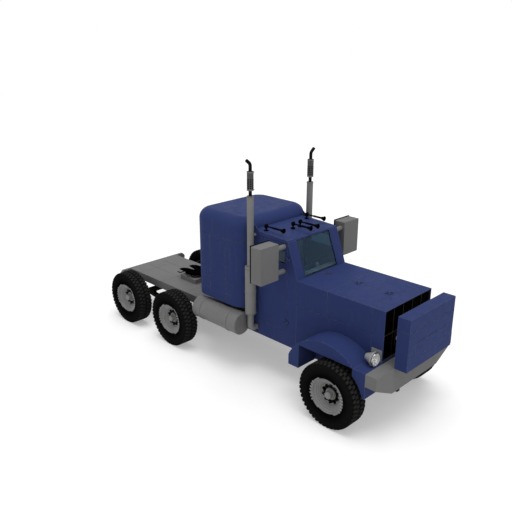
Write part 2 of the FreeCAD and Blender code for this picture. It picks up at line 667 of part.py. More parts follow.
def make_fifth_wheel():
    """Round plate with ramp tails, a V throat and the closed ring of the kingpin lock."""
    low = "hitch_top - hitch_plate"
    plate = rod("z", "hitch_radius", ("0", "hitch_y", low), "hitch_plate")
    ramps = prism("xy", low, "hitch_top", [
        ("0 - 205", "hitch_y + 100"), ("205", "hitch_y + 100"), ("180", "hitch_y + 380"),
        ("0 - 180", "hitch_y + 380")])
    slope = prism("yz", "0 - 220", "220", [
        ("hitch_y + 240", "hitch_top + 5"), ("hitch_y + 240", "hitch_top"),
        ("hitch_y + 390", "hitch_top - 30"),
        ("hitch_y + 390", "hitch_top + 5")])
    throat = prism("xy", f"{low} - 5", "hitch_top + 5", [
        ("0 - 38", "hitch_y + lock_radius + 36"), ("38", "hitch_y + lock_radius + 36"),
        ("95", "hitch_y + 390"),
        ("0 - 95", "hitch_y + 390")])
    lock = rod("z", "lock_radius", ("0", "hitch_y", f"{low} - 5"), "hitch_plate + 10")
    plate_cut = cut(join(plate, ramps), slope, throat, lock)
    ribs = []
    for low_x, high_x, pin in (("0 - 185", "0 - 155", "0 - 212"), ("155", "185", "170")):
        ribs.append(prism("yz", low_x, high_x, [
            ("hitch_y - 30", "hitch_axis - 18"), ("hitch_y + 30", "hitch_axis - 18"), ("hitch_y + 110", low),
            ("hitch_y - 110", low)]))
        ribs.append(rod("x", "pin_radius", (pin, "hitch_y", "hitch_axis"), "42"))
    pull = [box(("0 - 300", "0 - 120"), ("hitch_y + 200", "hitch_y + 224"), (f"{low} - 12", low)),
            box(("0 - 300", "0 - 276"), ("hitch_y + 200", "hitch_y + 300"), (f"{low} - 12", low))]
    piece("fifth_wheel_plate", join(plate_cut, *ribs, *pull))


def make_engine():
    block = box(("0 - 300", "300"), ("0 - 350", "engine_back"), ("engine_low", "1240"))
    feet = []
    for y in ("0", "800"):
        feet.append(box(("5 - rail_x", "rail_x - 5"), (f"{y} - 50", f"{y} + 50"),
                        ("rail_top", "rail_top + 35")))
    piece("engine", join(block, *feet))


# ---------------------------------------------------------------- front end

def cross_hinge(x, y, z, foot_y, foot_z, leaf_y, leaf_z):
    """Hinge along x: a fixed barrel between two moving ones that carry its pin."""
    post = join(rod("x", "10", (f"{x} - 20", y, z), "40"), box((f"{x} - 20", f"{x} + 20"), foot_y, foot_z))
    bore = rod("x", "5 + fit_gap", (f"{x} - 21", y, z), "42")
    leaves = [rod("x", "5", (f"{x} - 45", y, z), "90")]
    for low, high in ((f"{x} - 45", f"{x} - 21"), (f"{x} + 21", f"{x} + 45")):
        leaves.append(rod("x", "10", (low, y, z), "24"))
        leaves.append(box((low, high), leaf_y, leaf_z))
    return post, bore, leaves


def make_bumper():
    face = [("0 - bumper_x", "bumper_low"), ("0 - chin_x", "chin_low"), ("chin_x", "chin_low"),
            ("bumper_x", "bumper_low"), ("bumper_x", "bumper_top"), ("0 - bumper_x", "bumper_top")]
    hollow = [("0 - bumper_x + skin", "bumper_low + skin * 0.85"), ("0 - chin_x + 3", "chin_low + skin"),
              ("chin_x - 3", "chin_low + skin"), ("bumper_x - skin", "bumper_low + skin * 0.85"),
              ("bumper_x - skin", "bumper_top - skin"), ("0 - bumper_x + skin", "bumper_top - skin")]
    shell = cut(prism("xz", "bumper_front", "bumper_back", face),
                prism("xz", "bumper_front + skin", "bumper_back + 10", hollow))
    piece("bumper", shell)


def make_front_box():
    """Locker in front of the grille: body, hinged lid with a grip, and the bars behind it."""
    back, front = "bumper_front", "box_front"
    inner_x, inner_y = ("skin - box_x", "box_x - skin"), (f"{front} + skin", f"{back} - skin")
    body = cut(box(("0 - box_x", "box_x"), (front, back), ("bumper_top", "lid_seam")),
               box(inner_x, inner_y, ("bumper_top + skin", "lid_seam + 10")))
    lid = cut(box(("0 - box_x", "box_x"), (front, back), ("lid_seam + gap", "box_top")),
              box(inner_x, inner_y, ("lid_seam - 10", "box_top - skin")))
    fixed, bores, moving = [body], [], [lid]
    for x in ("box_x * 0.6", "0 - box_x * 0.6"):
        post, bore, leaves = cross_hinge(x, f"{back} + 11", "lid_seam + 3",
                                         (f"{back} - 4", f"{back} + 11"), ("lid_seam - 40", "lid_seam"),
                                         (f"{back} - 4", f"{back} + 11"), ("lid_seam + 3", "lid_seam + 46"))
        fixed.append(post)
        bores.append(bore)
        moving += leaves
    face, edge = (f"{front} - 1", f"{front} + seam_depth"), "box_x - 200"
    slots = [box((f"0 - ({edge})", edge), (f"{front} - 1", f"{front} + 8"),
                 ("lid_seam - 222", "lid_seam - 206"))]
    slots.append(box((f"0 - ({edge})", edge), face, ("lid_seam - 458", "lid_seam - 458 + seam")))
    slots += seams(((f"{edge} - seam", edge), face, ("lid_seam - 458", "lid_seam - 206")))
    piece("front_box", cut(join(*fixed), *bores, *slots))
    piece("box_lid", join(*moving))
    bar = box(("box_x - 130", "box_x - 88"), (back, f"{back} + 40"), ("bumper_top", "lid_seam - 50"))
    piece("box_bars", both(bar))


def make_grille():
    """Shell round the radiator opening, with a framed grille of upright bars set back in it."""
    sides = ("skin - cab_x", "cab_x - skin")
    shell = cut(box(("0 - cab_x", "cab_x"), ("hood_front", "shell_back"), ("bumper_top", "hood_top")),
                box(sides, ("hood_front - 5", "shell_back + 5"), ("bumper_top + skin", "hood_top - skin")))
    piece("grille_shell", shell)
    face, back = "hood_front + 25", "hood_front + 60"
    low, high = "bumper_top + skin", "hood_top - skin"
    screen = box(sides, (f"{back} - 6", back), (low, high))
    frame = cut(box(sides, (face, back), (low, high)),
                box(("skin + 18 - cab_x", "cab_x - skin - 18"), (f"{face} - 5", f"{back} + 5"),
                    (f"{low} + 18", f"{high} - 18")))
    bars = [box(("skin - cab_x", "cab_x - skin"), (face, back),
                (f"({low} + {high}) / 2 - 8", f"({low} + {high}) / 2 + 8"))]
    for part in (-3, -1, 1, 3):
        middle = f"({part}) * (cab_x - skin) / 5"
        bars.append(box((f"{middle} - 8", f"{middle} + 8"), (face, back), (low, high)))
    piece("grille", join(screen, frame, *bars))


def spine_hinge(y):
    """Hinge along the hood's spine: a fixed barrel between two that move with the hood's left half."""
    fixed = [
        rod("y", "hood_barrel", ("hood_hinge_x", f"{y} - 20", "hood_hinge_z"), "40"),
        box(("8", "spine_half - 1"), (f"{y} - 20", f"{y} + 20"), ("hood_top - 4", "hood_hinge_z + 4")),
    ]
    bore = rod("y", "5 + fit_gap", ("hood_hinge_x", f"{y} - 21", "hood_hinge_z"), "42")
    moving = [rod("y", "5", ("hood_hinge_x", f"{y} - 45", "hood_hinge_z"), "90")]
    for low, high in ((f"{y} - 45", f"{y} - 21"), (f"{y} + 21", f"{y} + 45")):
        moving.append(rod("y", "hood_barrel", ("hood_hinge_x", low, "hood_hinge_z"), "24"))
        moving.append(box(("spine_half + gap + 1", "spine_half + 45"), (low, high),
                          ("hood_top - 4", "hood_hinge_z + 2")))
    return fixed, bore, moving


def make_hood():
    """Two halves, each an L of top and side, hinged along a fixed spine."""
    length = ("shell_back + gap", "cowl - gap")
    outer = box(("spine_half + gap", "cab_x"), length, ("hood_seam + gap", "hood_top"))
    inner = box(("spine_half", "cab_x - skin"), ("shell_back", "cowl"), ("hood_seam - 5", "hood_top - skin"))
    slots = [box(("spine_half", "cab_x + 1"), ("hood_split", "hood_split + seam"),
                 ("hood_top - seam_depth", "hood_top + 1")),
             box(("cab_x - seam_depth", "cab_x + 1"), ("hood_split", "hood_split + seam"),
                 ("hood_seam", "hood_top + 1"))]
    spine = box(("0 - spine_half", "spine_half"), ("shell_back", "cowl"),
                ("hood_top - skin - 20", "hood_top"))
    fixed, bores, moving = [], [], []
    for y in ("shell_back + 150", "hood_split - 130", "cowl - 150"):
        posts, bore, leaves = spine_hinge(y)
        fixed += posts + [mirrored(post) for post in posts]
        bores += [bore, mirrored(bore)]
        moving += leaves
    piece("hood_spine", cut(join(spine, *fixed), *bores))
    left = piece("hood_left", join(cut(outer, inner, *slots), *moving))
    piece("hood_right", mirrored(left))


def make_side_panels():
    panel = prism("yz", "cab_x - skin", "cab_x", [
        ("shell_back", "panel_low"), ("apron_front", "panel_low"), ("apron_front", "cab_low"),
        ("cowl", "cab_low"), ("cowl", "hood_seam"), ("shell_back", "hood_seam")])
    piece("side_panels", both(panel))


def make_fenders():
    """Hollow wings: a flat nose, a round arch, and a boxed mudguard behind the wheel.

    The nose reaches in front of the tyre, so the opening is cut round the tyre's swept space.
    """
    inner, outer, lip = "cab_x", "fender_x", "fender_x - skin"

    def arch(radius, y, z, x_high):
        disc = rod("x", radius, (inner, "arch_y", "0"), f"{x_high} - {inner}")
        return common(disc, box((inner, x_high), y, z))

    nose = box((inner, outer), ("bumper_back", "fender_nose"), ("fender_low", "bumper_top"))
    body = join(nose,
                arch("arch_radius", ("fender_nose - 25", "guard_back"), ("bumper_top", "arch_radius"), outer),
                arch("arch_radius", ("guard_front", "guard_back"), ("cab_low", "arch_radius"), outer))
    opening = rod("x", "tyre_radius + sweep_gap", (f"{inner} - 5", "0", "0"), f"{outer} - {inner} + 10")
    behind = box((f"{inner} - 5", f"{outer} + 5"), ("0", "guard_front"), ("cab_low - 5", "bumper_top"))
    hollows = [
        box((f"{inner} - 5", lip), ("bumper_back + skin", "guard_front"),
            ("fender_low - 5", "bumper_top - skin")),
        arch("arch_radius - skin", ("fender_nose", "guard_front"), ("bumper_top - skin", "arch_radius"), lip),
        arch("arch_radius - skin", ("guard_front + skin", "guard_back - skin"),
             ("cab_low - 5", "arch_radius"), lip),
    ]
    piece("fenders", both(cut(body, *hollows, opening, behind)))


def make_headlamps():
    """Round lamps in long shells, on plates at the sides of the grille shell."""
    face = "bumper_back + 56"
    spot = ("lamp_x", face, "lamp_z")
    shell = taper("y", "lamp_radius", "45", spot, "157")
    ring = rod("y", "lamp_radius + 3", spot, "24")
    recess = taper("y", "lamp_radius - 12", "lamp_radius - 45", ("lamp_x", f"{face} - 1", "lamp_z"), "70")
    stem = rod("x", "18", ("cab_x + 6", f"{face} + 75", "lamp_z"), "lamp_x - cab_x - 60")
    plate = box(("cab_x", "cab_x + 6"), ("hood_front + 15", "fender_nose - 28"),
                ("bumper_top + 6", "bumper_top + 212"))
    piece("headlamps", both(cut(join(shell, ring, stem, plate), recess)))


# ---------------------------------------------------------------- cab

def hinge_post(x, y, z_low, z_high, reach):
    """Door hinge barrel fixed to the cab, with its foot in front of the door gap."""
    barrel = rod("z", "hinge_barrel", (x, y, z_low), f"{z_high} - ({z_low})")
    foot = box(("cab_x", f"{x} + 8"), (f"{y} - {reach}", f"{y} - 6"), (z_low, z_high))
    bore = rod("z", "hinge_pin + fit_gap", (x, y, f"{z_low} - 1"), f"{z_high} - ({z_low}) + 2")
    return join(barrel, foot), bore


HINGES = ("floor_top + 180", "window_low + 90")


def make_cab():
    outer = prism("yz", "0 - cab_x", "cab_x", [
        ("cowl", "cab_low"), ("heel_back", "cab_low"), ("heel_back", "heel_top"), ("cab_back", "heel_top"),
        ("cab_back", "roof_back_z - roof_wall"), ("cowl + screen_lean", "roof_front_z - roof_wall"),
        ("cowl", "hood_top")])
    room = prism("yz", "0 - cab_x + cab_wall", "cab_x - cab_wall", [
        ("cowl + cab_wall", "floor_top"), ("heel_back - 40", "floor_top"),
        ("heel_back - 40", "heel_top - 40"),
        ("cab_back - cab_wall", "heel_top - 40"), ("cab_back - cab_wall", "roof_back_z + 40"),
        ("cowl + screen_lean * 1.11 + cab_wall * 1.07", "roof_front_z + 40"),
        ("cowl + cab_wall", "hood_top - 10")])
    under = box(("0 - cab_x + cab_wall", "cab_x - cab_wall"), ("cowl - 5", "heel_back + 5"),
                ("cab_low - 5", "floor_low"))
    screen = prism("yz", "0 - screen_x", "screen_x", [
        ("cowl - 60", "hood_top + 12"), ("cowl + 260", "hood_top + 12"),
        ("roof_front + 180", "roof_front_z - roof_wall"), ("roof_front - 120", "roof_front_z - roof_wall")])
    doors = box(("0 - cab_x - 5", "cab_x + 5"), ("door_front", "door_back"), ("floor_top", "door_top"))
    hatch = box(("0 - hatch_x", "hatch_x"), ("cab_back - cab_wall - 5", "cab_back + 5"),
                ("heel_top + 200", "hatch_top"))
    pipe_window = box(("0 - cab_x - 5", "cab_x + 5"),
                      ("stack_y - pipe_radius - 12", "stack_y + pipe_radius + 12"),
                      ("elbow_z - pipe_radius - 12", "elbow_z + pipe_radius + 12"))
    shell = cut(outer, room, under, screen, doors, hatch, pipe_window)
    feet = []
    for y in ("cowl + 120", "heel_back - 130"):
        for low, high in (("0 - rail_x", "0 - rail_x + 70"), ("rail_x - 70", "rail_x")):
            feet.append(box((low, high), (f"{y} - 45", f"{y} + 45"), ("rail_top", "floor_low")))
    posts, bores = [], []
    for z in HINGES:
        post, bore = hinge_post("hinge_x", "hinge_y", f"{z} - 20", f"{z} + 20", "45")
        posts += [post, mirrored(post)]
        bores += [bore, mirrored(bore)]
    piece("cab_shell", cut(join(shell, *feet, *posts), *bores))
    roof = prism("yz", "0 - cab_x", "cab_x", [
        ("cowl + screen_lean", "roof_front_z - roof_wall"), ("cab_back", "roof_back_z - roof_wall"),
        ("cab_back", "roof_back_z"), ("roof_front", "roof_front_z")])
    gusset = prism("yz", "cab_x - 14", "cab_x - 2", [
        ("cab_back", "roof_back_z - 20"), ("cab_back", "roof_back_z + 100"),
        ("cab_back - 155", "roof_back_z - 20")])
    piece("cab_roof", join(roof, gusset, mirrored(gusset)))


def make_windscreen():
    pane = prism("yz", "0 - screen_x", "screen_x", [
        ("cowl + 12", "hood_top + 12"), ("cowl + 12 + glass", "hood_top + 12"),
        ("roof_front - 11 + 7 + glass", "roof_front_z - roof_wall"),
        ("roof_front - 11 + 7", "roof_front_z - roof_wall")])
    piece("windscreen", pane)


def make_doors():
    """Doors with a window opening, hinge leaves round the cab's hinge posts, and a grip."""
    low, high = "floor_top + gap", "door_top - gap"
    front, back = "door_front + gap", "door_back - gap - 4"
    slab = box(("cab_x - cab_wall", "cab_x"), (front, back), (low, high))
    pane_y = (f"{front} + window_rim", f"{back} - window_rim")
    window = box(("cab_x - cab_wall - 5", "cab_x + 5"), pane_y, ("window_low", "window_top"))
    grip = [box(("cab_x + 24", "cab_x + 40"), (f"{back} - 190", f"{back} - 50"),
                ("window_low - 160", "window_low - 134"))]
    for y in (f"{back} - 190", f"{back} - 70"):
        grip.append(box(("cab_x", "cab_x + 26"), (y, f"{y} + 20"), ("window_low - 160", "window_low - 134")))
    leaves = []
    for z in HINGES:
        for z_low, z_high in ((f"{z} - 44", f"{z} - 20.5"), (f"{z} + 20.5", f"{z} + 44")):
            leaves.append(rod("z", "hinge_barrel", ("hinge_x", "hinge_y", z_low), f"{z_high} - ({z_low})"))
            leaves.append(box(("cab_x", "hinge_x + 8"), ("hinge_y + 6", "hinge_y + 60"), (z_low, z_high)))
        leaves.append(rod("z", "hinge_pin", ("hinge_x", "hinge_y", f"{z} - 44"), "88"))
    left = piece("door_left", join(cut(slab, window), *leaves, *grip))
    piece("door_right", mirrored(left))
    middle = "cab_x - cab_wall / 2"
    pane = piece("door_glass_left", box((f"{middle} - glass / 2", f"{middle} + glass / 2"), pane_y,
                                        ("window_low", "window_top")))
    piece("door_glass_right", mirrored(pane))


def make_mirrors():
    """Mirror housings on two arms from each door, open at the rear round the mirror face."""
    span_x, span_z = ("mirror_in", "mirror_in + mirror_wide"), ("mirror_low", "mirror_top")
    block = box(span_x, ("mirror_front", "mirror_front + mirror_deep"), span_z)
    housing = rounded(block, 14, lambda edge: edge.YLength > 1)
    face = box(("mirror_in + 22", "mirror_in + mirror_wide - 22"),
               ("mirror_front + mirror_deep - 14", "mirror_front + mirror_deep + 5"),
               ("mirror_low + 22", "mirror_top - 22"))
    arms = [rod("x", "mirror_arm", ("cab_x", "mirror_arm_y", z), "mirror_in - cab_x + 15")
            for z in ("mirror_arm_low", "mirror_arm_high")]
    left = piece("mirror_left", join(cut(housing, face), *arms))
    piece("mirror_right", mirrored(left))


def leaning(item):
    """Leans an upright item back along the steering column."""
    item.Placement.Rotation = Rotation(Vector(-1, 0, 0), 35)
    item.setExpression(".Placement.Rotation.Angle", bind("steer_tilt"))
    return item


def make_interior():
    """Dash with the steering column, pedals, and two seats."""
    wall = "cowl + cab_wall"
    dash = prism("yz", "0 - inside_x", "inside_x", [
        (wall, "hood_top - 404"), (f"{wall} + 180", "hood_top - 324"), (f"{wall} + 230", "hood_top - 40"),
        (wall, "hood_top - 10")])
    foot = ("steer_x", "steer_y - 330 * sin(steer_tilt)", "steer_z - 330 * cos(steer_tilt)")
    column = leaning(rod("z", "34", foot, "290"))
    seat = ("steer_x", "steer_y - 200 * sin(steer_tilt)", "steer_z - 200 * cos(steer_tilt)")
    bore = leaning(rod("z", "pin_radius + fit_gap", seat, "170"))
    piece("dashboard", cut(join(dash, column), bore))
    pedals = []
    for x in ("0 - 150", "0 - 10", "130"):
        pedals.append(prism("yz", f"steer_x + {x} - 30", f"steer_x + {x} + 30", [
            (wall, "floor_top + 170"), (wall, "floor_top + 145"), (f"{wall} + 38", "floor_top + 60"),
            (f"{wall} + 49", "floor_top + 68"), (f"{wall} + 30", "floor_top + 175")]))
    piece("pedals", group(*pedals))
    seats = []
    for x in ("steer_x", "0 - steer_x"):
        seats.append(prism("yz", f"{x} - 215", f"{x} + 215", [
            ("seat_y + 80", "floor_top"), ("seat_y + 420", "floor_top"), ("seat_y + 450", "floor_top + 330"),
            ("seat_y + 550", "floor_top + 1060"), ("seat_y + 440", "floor_top + 1060"),
            ("seat_y + 350", "floor_top + 440"), ("seat_y", "floor_top + 440"), ("seat_y", "floor_top + 300"),
            ("seat_y + 80", "floor_top + 280")]))
    piece("seats", group(*seats))


def make_steering_wheel():
    rim = doc.addObject("Part::Torus", "rim")
    rim.setExpression("Radius1", bind("steer_radius - 14"))
    rim.Radius2 = 14
    hub = doc.addObject("Part::Cylinder", "hub")
    hub.Radius, hub.Height = 38, 40
    hub.Placement = Placement(Vector(0, 0, -30), Rotation())
    spokes = []
    for angle in (90, 210, 330):
        spoke = doc.addObject("Part::Box", "spoke")
        spoke.setExpression("Length", bind("steer_radius - 20"))
        spoke.Width, spoke.Height = 30, 10
        turn = Rotation(Vector(0, 0, 1), angle)
        spoke.Placement = Placement(turn.multVec(Vector(0, -15, -5)), turn)
        spokes.append(spoke)
    shaft = doc.addObject("Part::Cylinder", "shaft")
    shaft.setExpression("Radius", bind("pin_radius"))
    shaft.Height = 180
    shaft.Placement = Placement(Vector(0, 0, -195), Rotation())
    piece("steering_wheel", leaning(put(join(rim, hub, shaft, *spokes), "steer_x", "steer_y", "steer_z")))


# ---------------------------------------------------------------- sleeper, tanks and stacks

def sleeper_block(inset, low, high):
    """The sleeper's rounded block, set in by a number of millimetres all round."""
    block = box((f"{inset} - sleeper_x", f"sleeper_x - {inset}"),
                (f"cab_back + {inset}", f"sleeper_back - {inset}"),
                (low, high))
    sides = rounded(block, sheet.get("sleeper_corner") - inset, lambda edge: edge.ZLength > 1)
    doc.recompute()
    top = sides.Shape.BoundBox.ZMax
    return rounded(sides, sheet.get("sleeper_crown") - inset, lambda edge: edge.ZMin > top - 1)


def make_sleeper():
    """Hollow sleeper with a seam under its cap, locker doors low on its sides, and a bunk."""
    wall = sheet.get("sleeper_wall")
    low, high = "sleeper_low", "sleeper_top"
    outer = sleeper_block(0, low, high)
    inner = sleeper_block(wall, f"{low} + sleeper_wall", f"{high} - sleeper_wall")
    hatch = box(("0 - hatch_x", "hatch_x"), ("cab_back - 5", "cab_back + sleeper_wall + 5"),
                ("heel_top + 200", "hatch_top"))
    belt = box(("0 - sleeper_x - 5", "sleeper_x + 5"), ("cab_back - 5", "sleeper_back + 5"),
               ("sleeper_seam", "sleeper_seam + 14"))
    core = sleeper_block(8, f"{low} + 8", f"{high} - 8")
    face = ("sleeper_x - seam_depth", "sleeper_x + 1")
    front, rear = "sleeper_back - 927", "sleeper_back - 501"
    slots = []
    for y in (front, rear):
        slots.append((face, (y, f"{y} + seam"), ("sleeper_low + 60", "sleeper_seam")))
    for z in ("sleeper_low + 190", "sleeper_low + 420"):
        slots.append((face, ("cab_back + sleeper_corner - 60", front), (z, f"{z} + seam")))
        slots.append((face, (rear, f"{rear} + 255"), (z, f"{z} + seam")))
    slots.append((face, (f"{rear} + 250", f"{rear} + 255"),
                  ("sleeper_low + 190", "sleeper_low + 420 + seam")))
    piece("sleeper", cut(outer, inner, hatch, cut(belt, core), *seams(*slots)))
    bed = box(("0 - sleeper_x", "sleeper_x"), ("sleeper_back - 760", "sleeper_back"), (low, "bunk_top"))
    piece("bunk", common(inner, bed))


def make_tanks():
    """Round fuel tanks along the frame, in saddle brackets with straps."""
    back = "mid_axle - sqrt(tyre_radius ^ 2 - (tank_z - tank_radius) ^ 2) - tank_room"
    length = f"({back} - tank_front)"
    section = [("0", "0"), ("0", "tank_radius - 14"), ("14", "tank_radius"),
               (f"{length} - 60", "tank_radius"),
               (f"{length} - 14", "tank_radius - 46"), (length, "tank_radius - 90"), (length, "0")]
    tank = turned("tank", section)
    put(tank, "tank_x", "tank_front", "tank_z", Rotation(Vector(0, 0, 1), 90))
    piece("fuel_tanks", both(tank))
    brackets = []
    for y in (f"heel_back + 10 + {length} * 0.12", f"tank_front + {length} * 0.8"):
        arm = prism("xz", f"{y} - 30", f"{y} + 30", [
            ("deck_x", "deck_top - deck_skirt + 18"), ("deck_x", "deck_top - 8"),
            ("tank_x - 120", "deck_top - 8"),
            ("tank_x - 40", "tank_z - tank_radius - 20"), ("tank_x - 160", "tank_z - tank_radius - 20")])
        strap = rod("y", "tank_radius + 7", ("tank_x", f"{y} - 25", "tank_z"), "50")
        room = rod("y", "tank_radius + seat_gap", ("tank_x", f"{y} - 40", "tank_z"), "80")
        bracket = cut(join(arm, strap), room)
        brackets += [bracket, mirrored(bracket)]
    piece("tank_brackets", group(*brackets))


def make_stacks():
    """Stacks: elbow under the cab, heat shield, upper pipe, louvred silencer and bent tip."""
    x, y = "stack_x", "stack_y"
    reach = "tip_bend - tip_bend * cos(tip_angle)"
    tip = rod("z", "thin_radius", (f"{x} + {reach}", y, "tip_turn + tip_bend * sin(tip_angle)"), "70")
    tip.Placement.Rotation = Rotation(Vector(0, 1, 0), 45)
    tip.setExpression(".Placement.Rotation.Angle", bind("tip_angle"))
    turn = bend("tip_bend", "thin_radius", (f"{x} + tip_bend", y, "tip_turn"), 45,
                Rotation(Vector(0, 1, 1), 180))
    turn.setExpression("Angle3", bind("tip_angle"))
    parts = [
        rod("z", "muffler_radius", (x, y, "muffler_low"), "muffler_top - muffler_low"),
        rod("z", "muffler_radius + 5", (x, y, "hood_seam - 15"), "30"),
        rod("z", "pipe_radius", (x, y, "elbow_z + elbow_bend"), "muffler_low - elbow_z - elbow_bend + 10"),
        bend("elbow_bend", "pipe_radius", (f"{x} - elbow_bend", y, "elbow_z + elbow_bend"), 90,
             Rotation(Vector(1, 0, 0), -90)),
        rod("x", "pipe_radius", ("rail_x", y, "elbow_z"), "stack_x - rail_x - elbow_bend"),
        rod("z", "pipe_radius", (x, y, "muffler_top - 5"), "pipe_top - muffler_top + 5"),
        rod("z", "thin_radius", (x, y, "pipe_top - 5"), "tip_turn - pipe_top + 5"),
        rod("z", "silencer_radius", (x, y, "silencer_low"), "silencer_top - silencer_low"),
        turn,
        tip,
    ]
    for z in ("muffler_low + 180", "muffler_top - 110"):
        parts.append(box(("cab_x", f"{x} - muffler_radius * 0.8"), (f"{y} - 20", f"{y} + 20"),
                         (z, f"{z} + 40")))
    parts.append(box(("cab_x", f"{x} - pipe_radius * 0.8"), (f"{y} - 20", f"{y} + 20"),
                     ("roof_back_z - 100", "roof_back_z - 60")))
    piece("exhaust_stacks", both(join(*parts)))


def make_horns():
    """Trumpets with open bells on the roof, each on a post at its rear."""
    horns = []
    for x, tail, bell in (("cab_x - 117", "2020", "1580"), ("95", "1790", "1355")):
        parts = [
            taper("y", "40", "14", (x, bell, "horn_z"), "110"),
            rod("y", "14", (x, f"{bell} + 100", "horn_z"), f"{tail} - {bell} - 130"),
            rod("y", "26", (x, f"{tail} - 40", "horn_z"), "40"),
            box((f"{x} - 12", f"{x} + 12"), (f"{tail} - 30", f"{tail} - 10"), ("roof_front_z", "horn_z")),
            box((f"{x} - 30", f"{x} + 30"), (f"{tail} - 50", f"{tail} + 10"),
                ("roof_front_z", "horn_z - 68")),
        ]
        roof = prism("yz", f"{x} - 60", f"{x} + 60", [
            ("roof_front", "roof_front_z - 100"), ("cab_back", "roof_back_z - 100"),
            ("cab_back", "roof_back_z"), ("roof_front", "roof_front_z")])
        bell_space = taper("y", "36", "9", (x, f"{bell} - 1", "horn_z"), "100")
        horn = cut(join(*parts), roof, bell_space)
        horns += [horn, mirrored(horn)]
    piece("air_horns", group(*horns))


make_wheels()
make_front_axle()
make_knuckle()
make_tie_rod()
make_drive_axles()
make_suspension()
make_frame()
make_deck()
make_tow_eyes()
make_fifth_wheel()
make_engine()
make_bumper()
make_front_box()
make_grille()
make_hood()
make_side_panels()
make_fenders()
make_headlamps()
make_cab()
make_windscreen()
make_doors()
make_mirrors()
make_interior()
make_steering_wheel()
make_sleeper()
make_tanks()
make_stacks()
make_horns()

doc.recompute()
bad = [o.Name for o in doc.Objects if "Invalid" in o.State or "Error" in o.State]
if bad:
    raise RuntimeError(f"failed objects: {bad}")
for item in PIECES:
    if item.Shape.isNull() or not item.Shape.isValid() or not item.Shape.Solids:
        raise RuntimeError(f"bad shape: {item.Label}")
os.makedirs("parts", exist_ok=True)
for item in PIECES:
    item.Shape.exportStep(f"parts/{item.Label}.step")
    print(item.Label, len(item.Shape.Solids), round(item.Shape.Volume / 1e6, 2))
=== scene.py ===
import json
import math

import bmesh
import bpy
from mathutils import Matrix, Vector


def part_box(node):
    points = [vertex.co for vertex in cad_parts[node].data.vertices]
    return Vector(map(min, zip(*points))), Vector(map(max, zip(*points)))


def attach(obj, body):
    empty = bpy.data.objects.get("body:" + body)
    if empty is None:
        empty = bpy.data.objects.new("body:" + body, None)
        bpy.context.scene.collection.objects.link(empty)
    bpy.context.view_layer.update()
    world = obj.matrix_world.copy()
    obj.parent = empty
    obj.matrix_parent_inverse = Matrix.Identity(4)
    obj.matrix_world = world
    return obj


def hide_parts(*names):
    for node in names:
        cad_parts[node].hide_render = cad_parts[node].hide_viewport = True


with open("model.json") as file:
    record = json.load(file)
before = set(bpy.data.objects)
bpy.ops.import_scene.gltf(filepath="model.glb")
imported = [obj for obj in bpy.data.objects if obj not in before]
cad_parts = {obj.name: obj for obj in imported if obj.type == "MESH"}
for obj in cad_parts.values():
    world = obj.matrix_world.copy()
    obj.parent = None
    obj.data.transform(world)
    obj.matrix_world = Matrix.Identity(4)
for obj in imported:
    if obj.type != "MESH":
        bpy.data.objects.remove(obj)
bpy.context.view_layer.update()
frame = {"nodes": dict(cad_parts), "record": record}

scene = bpy.context.scene
NODES = frame["nodes"]
TAU = 2 * math.pi


# ---------------------------------------------------------------- places

class Span:
    """The box of a CAD node at rest, by name."""

    def __init__(self, node):
        low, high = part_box(node)
        self.x0, self.y0, self.z0 = low
        self.x1, self.y1, self.z1 = high
        self.middle = (low + high) / 2
        self.size = high - low


def body_of(node):
    """Name of the body that carries a CAD node."""
    return next(body for body, members in frame["record"]["behaviour"]["bodies"].items() if node in members)


def hand_of(name):
    """1 for a name on the truck's left, which is +X, and -1 on its right."""
    return 1 if name.endswith("left") else -1


AXLE_Y = -2.6025                            # front axle, from which the cab's places are measured
LAMP_X = 0.810                              # headlamp centres
HITCH_Y = 2.0275                            # kingpin lock
STACK_X, STACK_Y = 0.789, -0.4545           # stack centres
PIPE_TOP = 3.372                            # end of a stack's wide pipe
CAN_LOW, CAN_HIGH = 3.467, 3.797            # ends of its silencer
HANDLE_LOW, HANDLE_HIGH = 1.5325, 1.8175    # ends of the locker's handles


# ---------------------------------------------------------------- materials

def srgb(*levels):
    """Linear colour of 8-bit display levels; one level makes a grey."""
    levels = levels * 3 if len(levels) == 1 else levels
    values = [level / 255 for level in levels]
    return tuple(v / 12.92 if v < 0.04045 else ((v + 0.055) / 1.055) ** 2.4 for v in values)


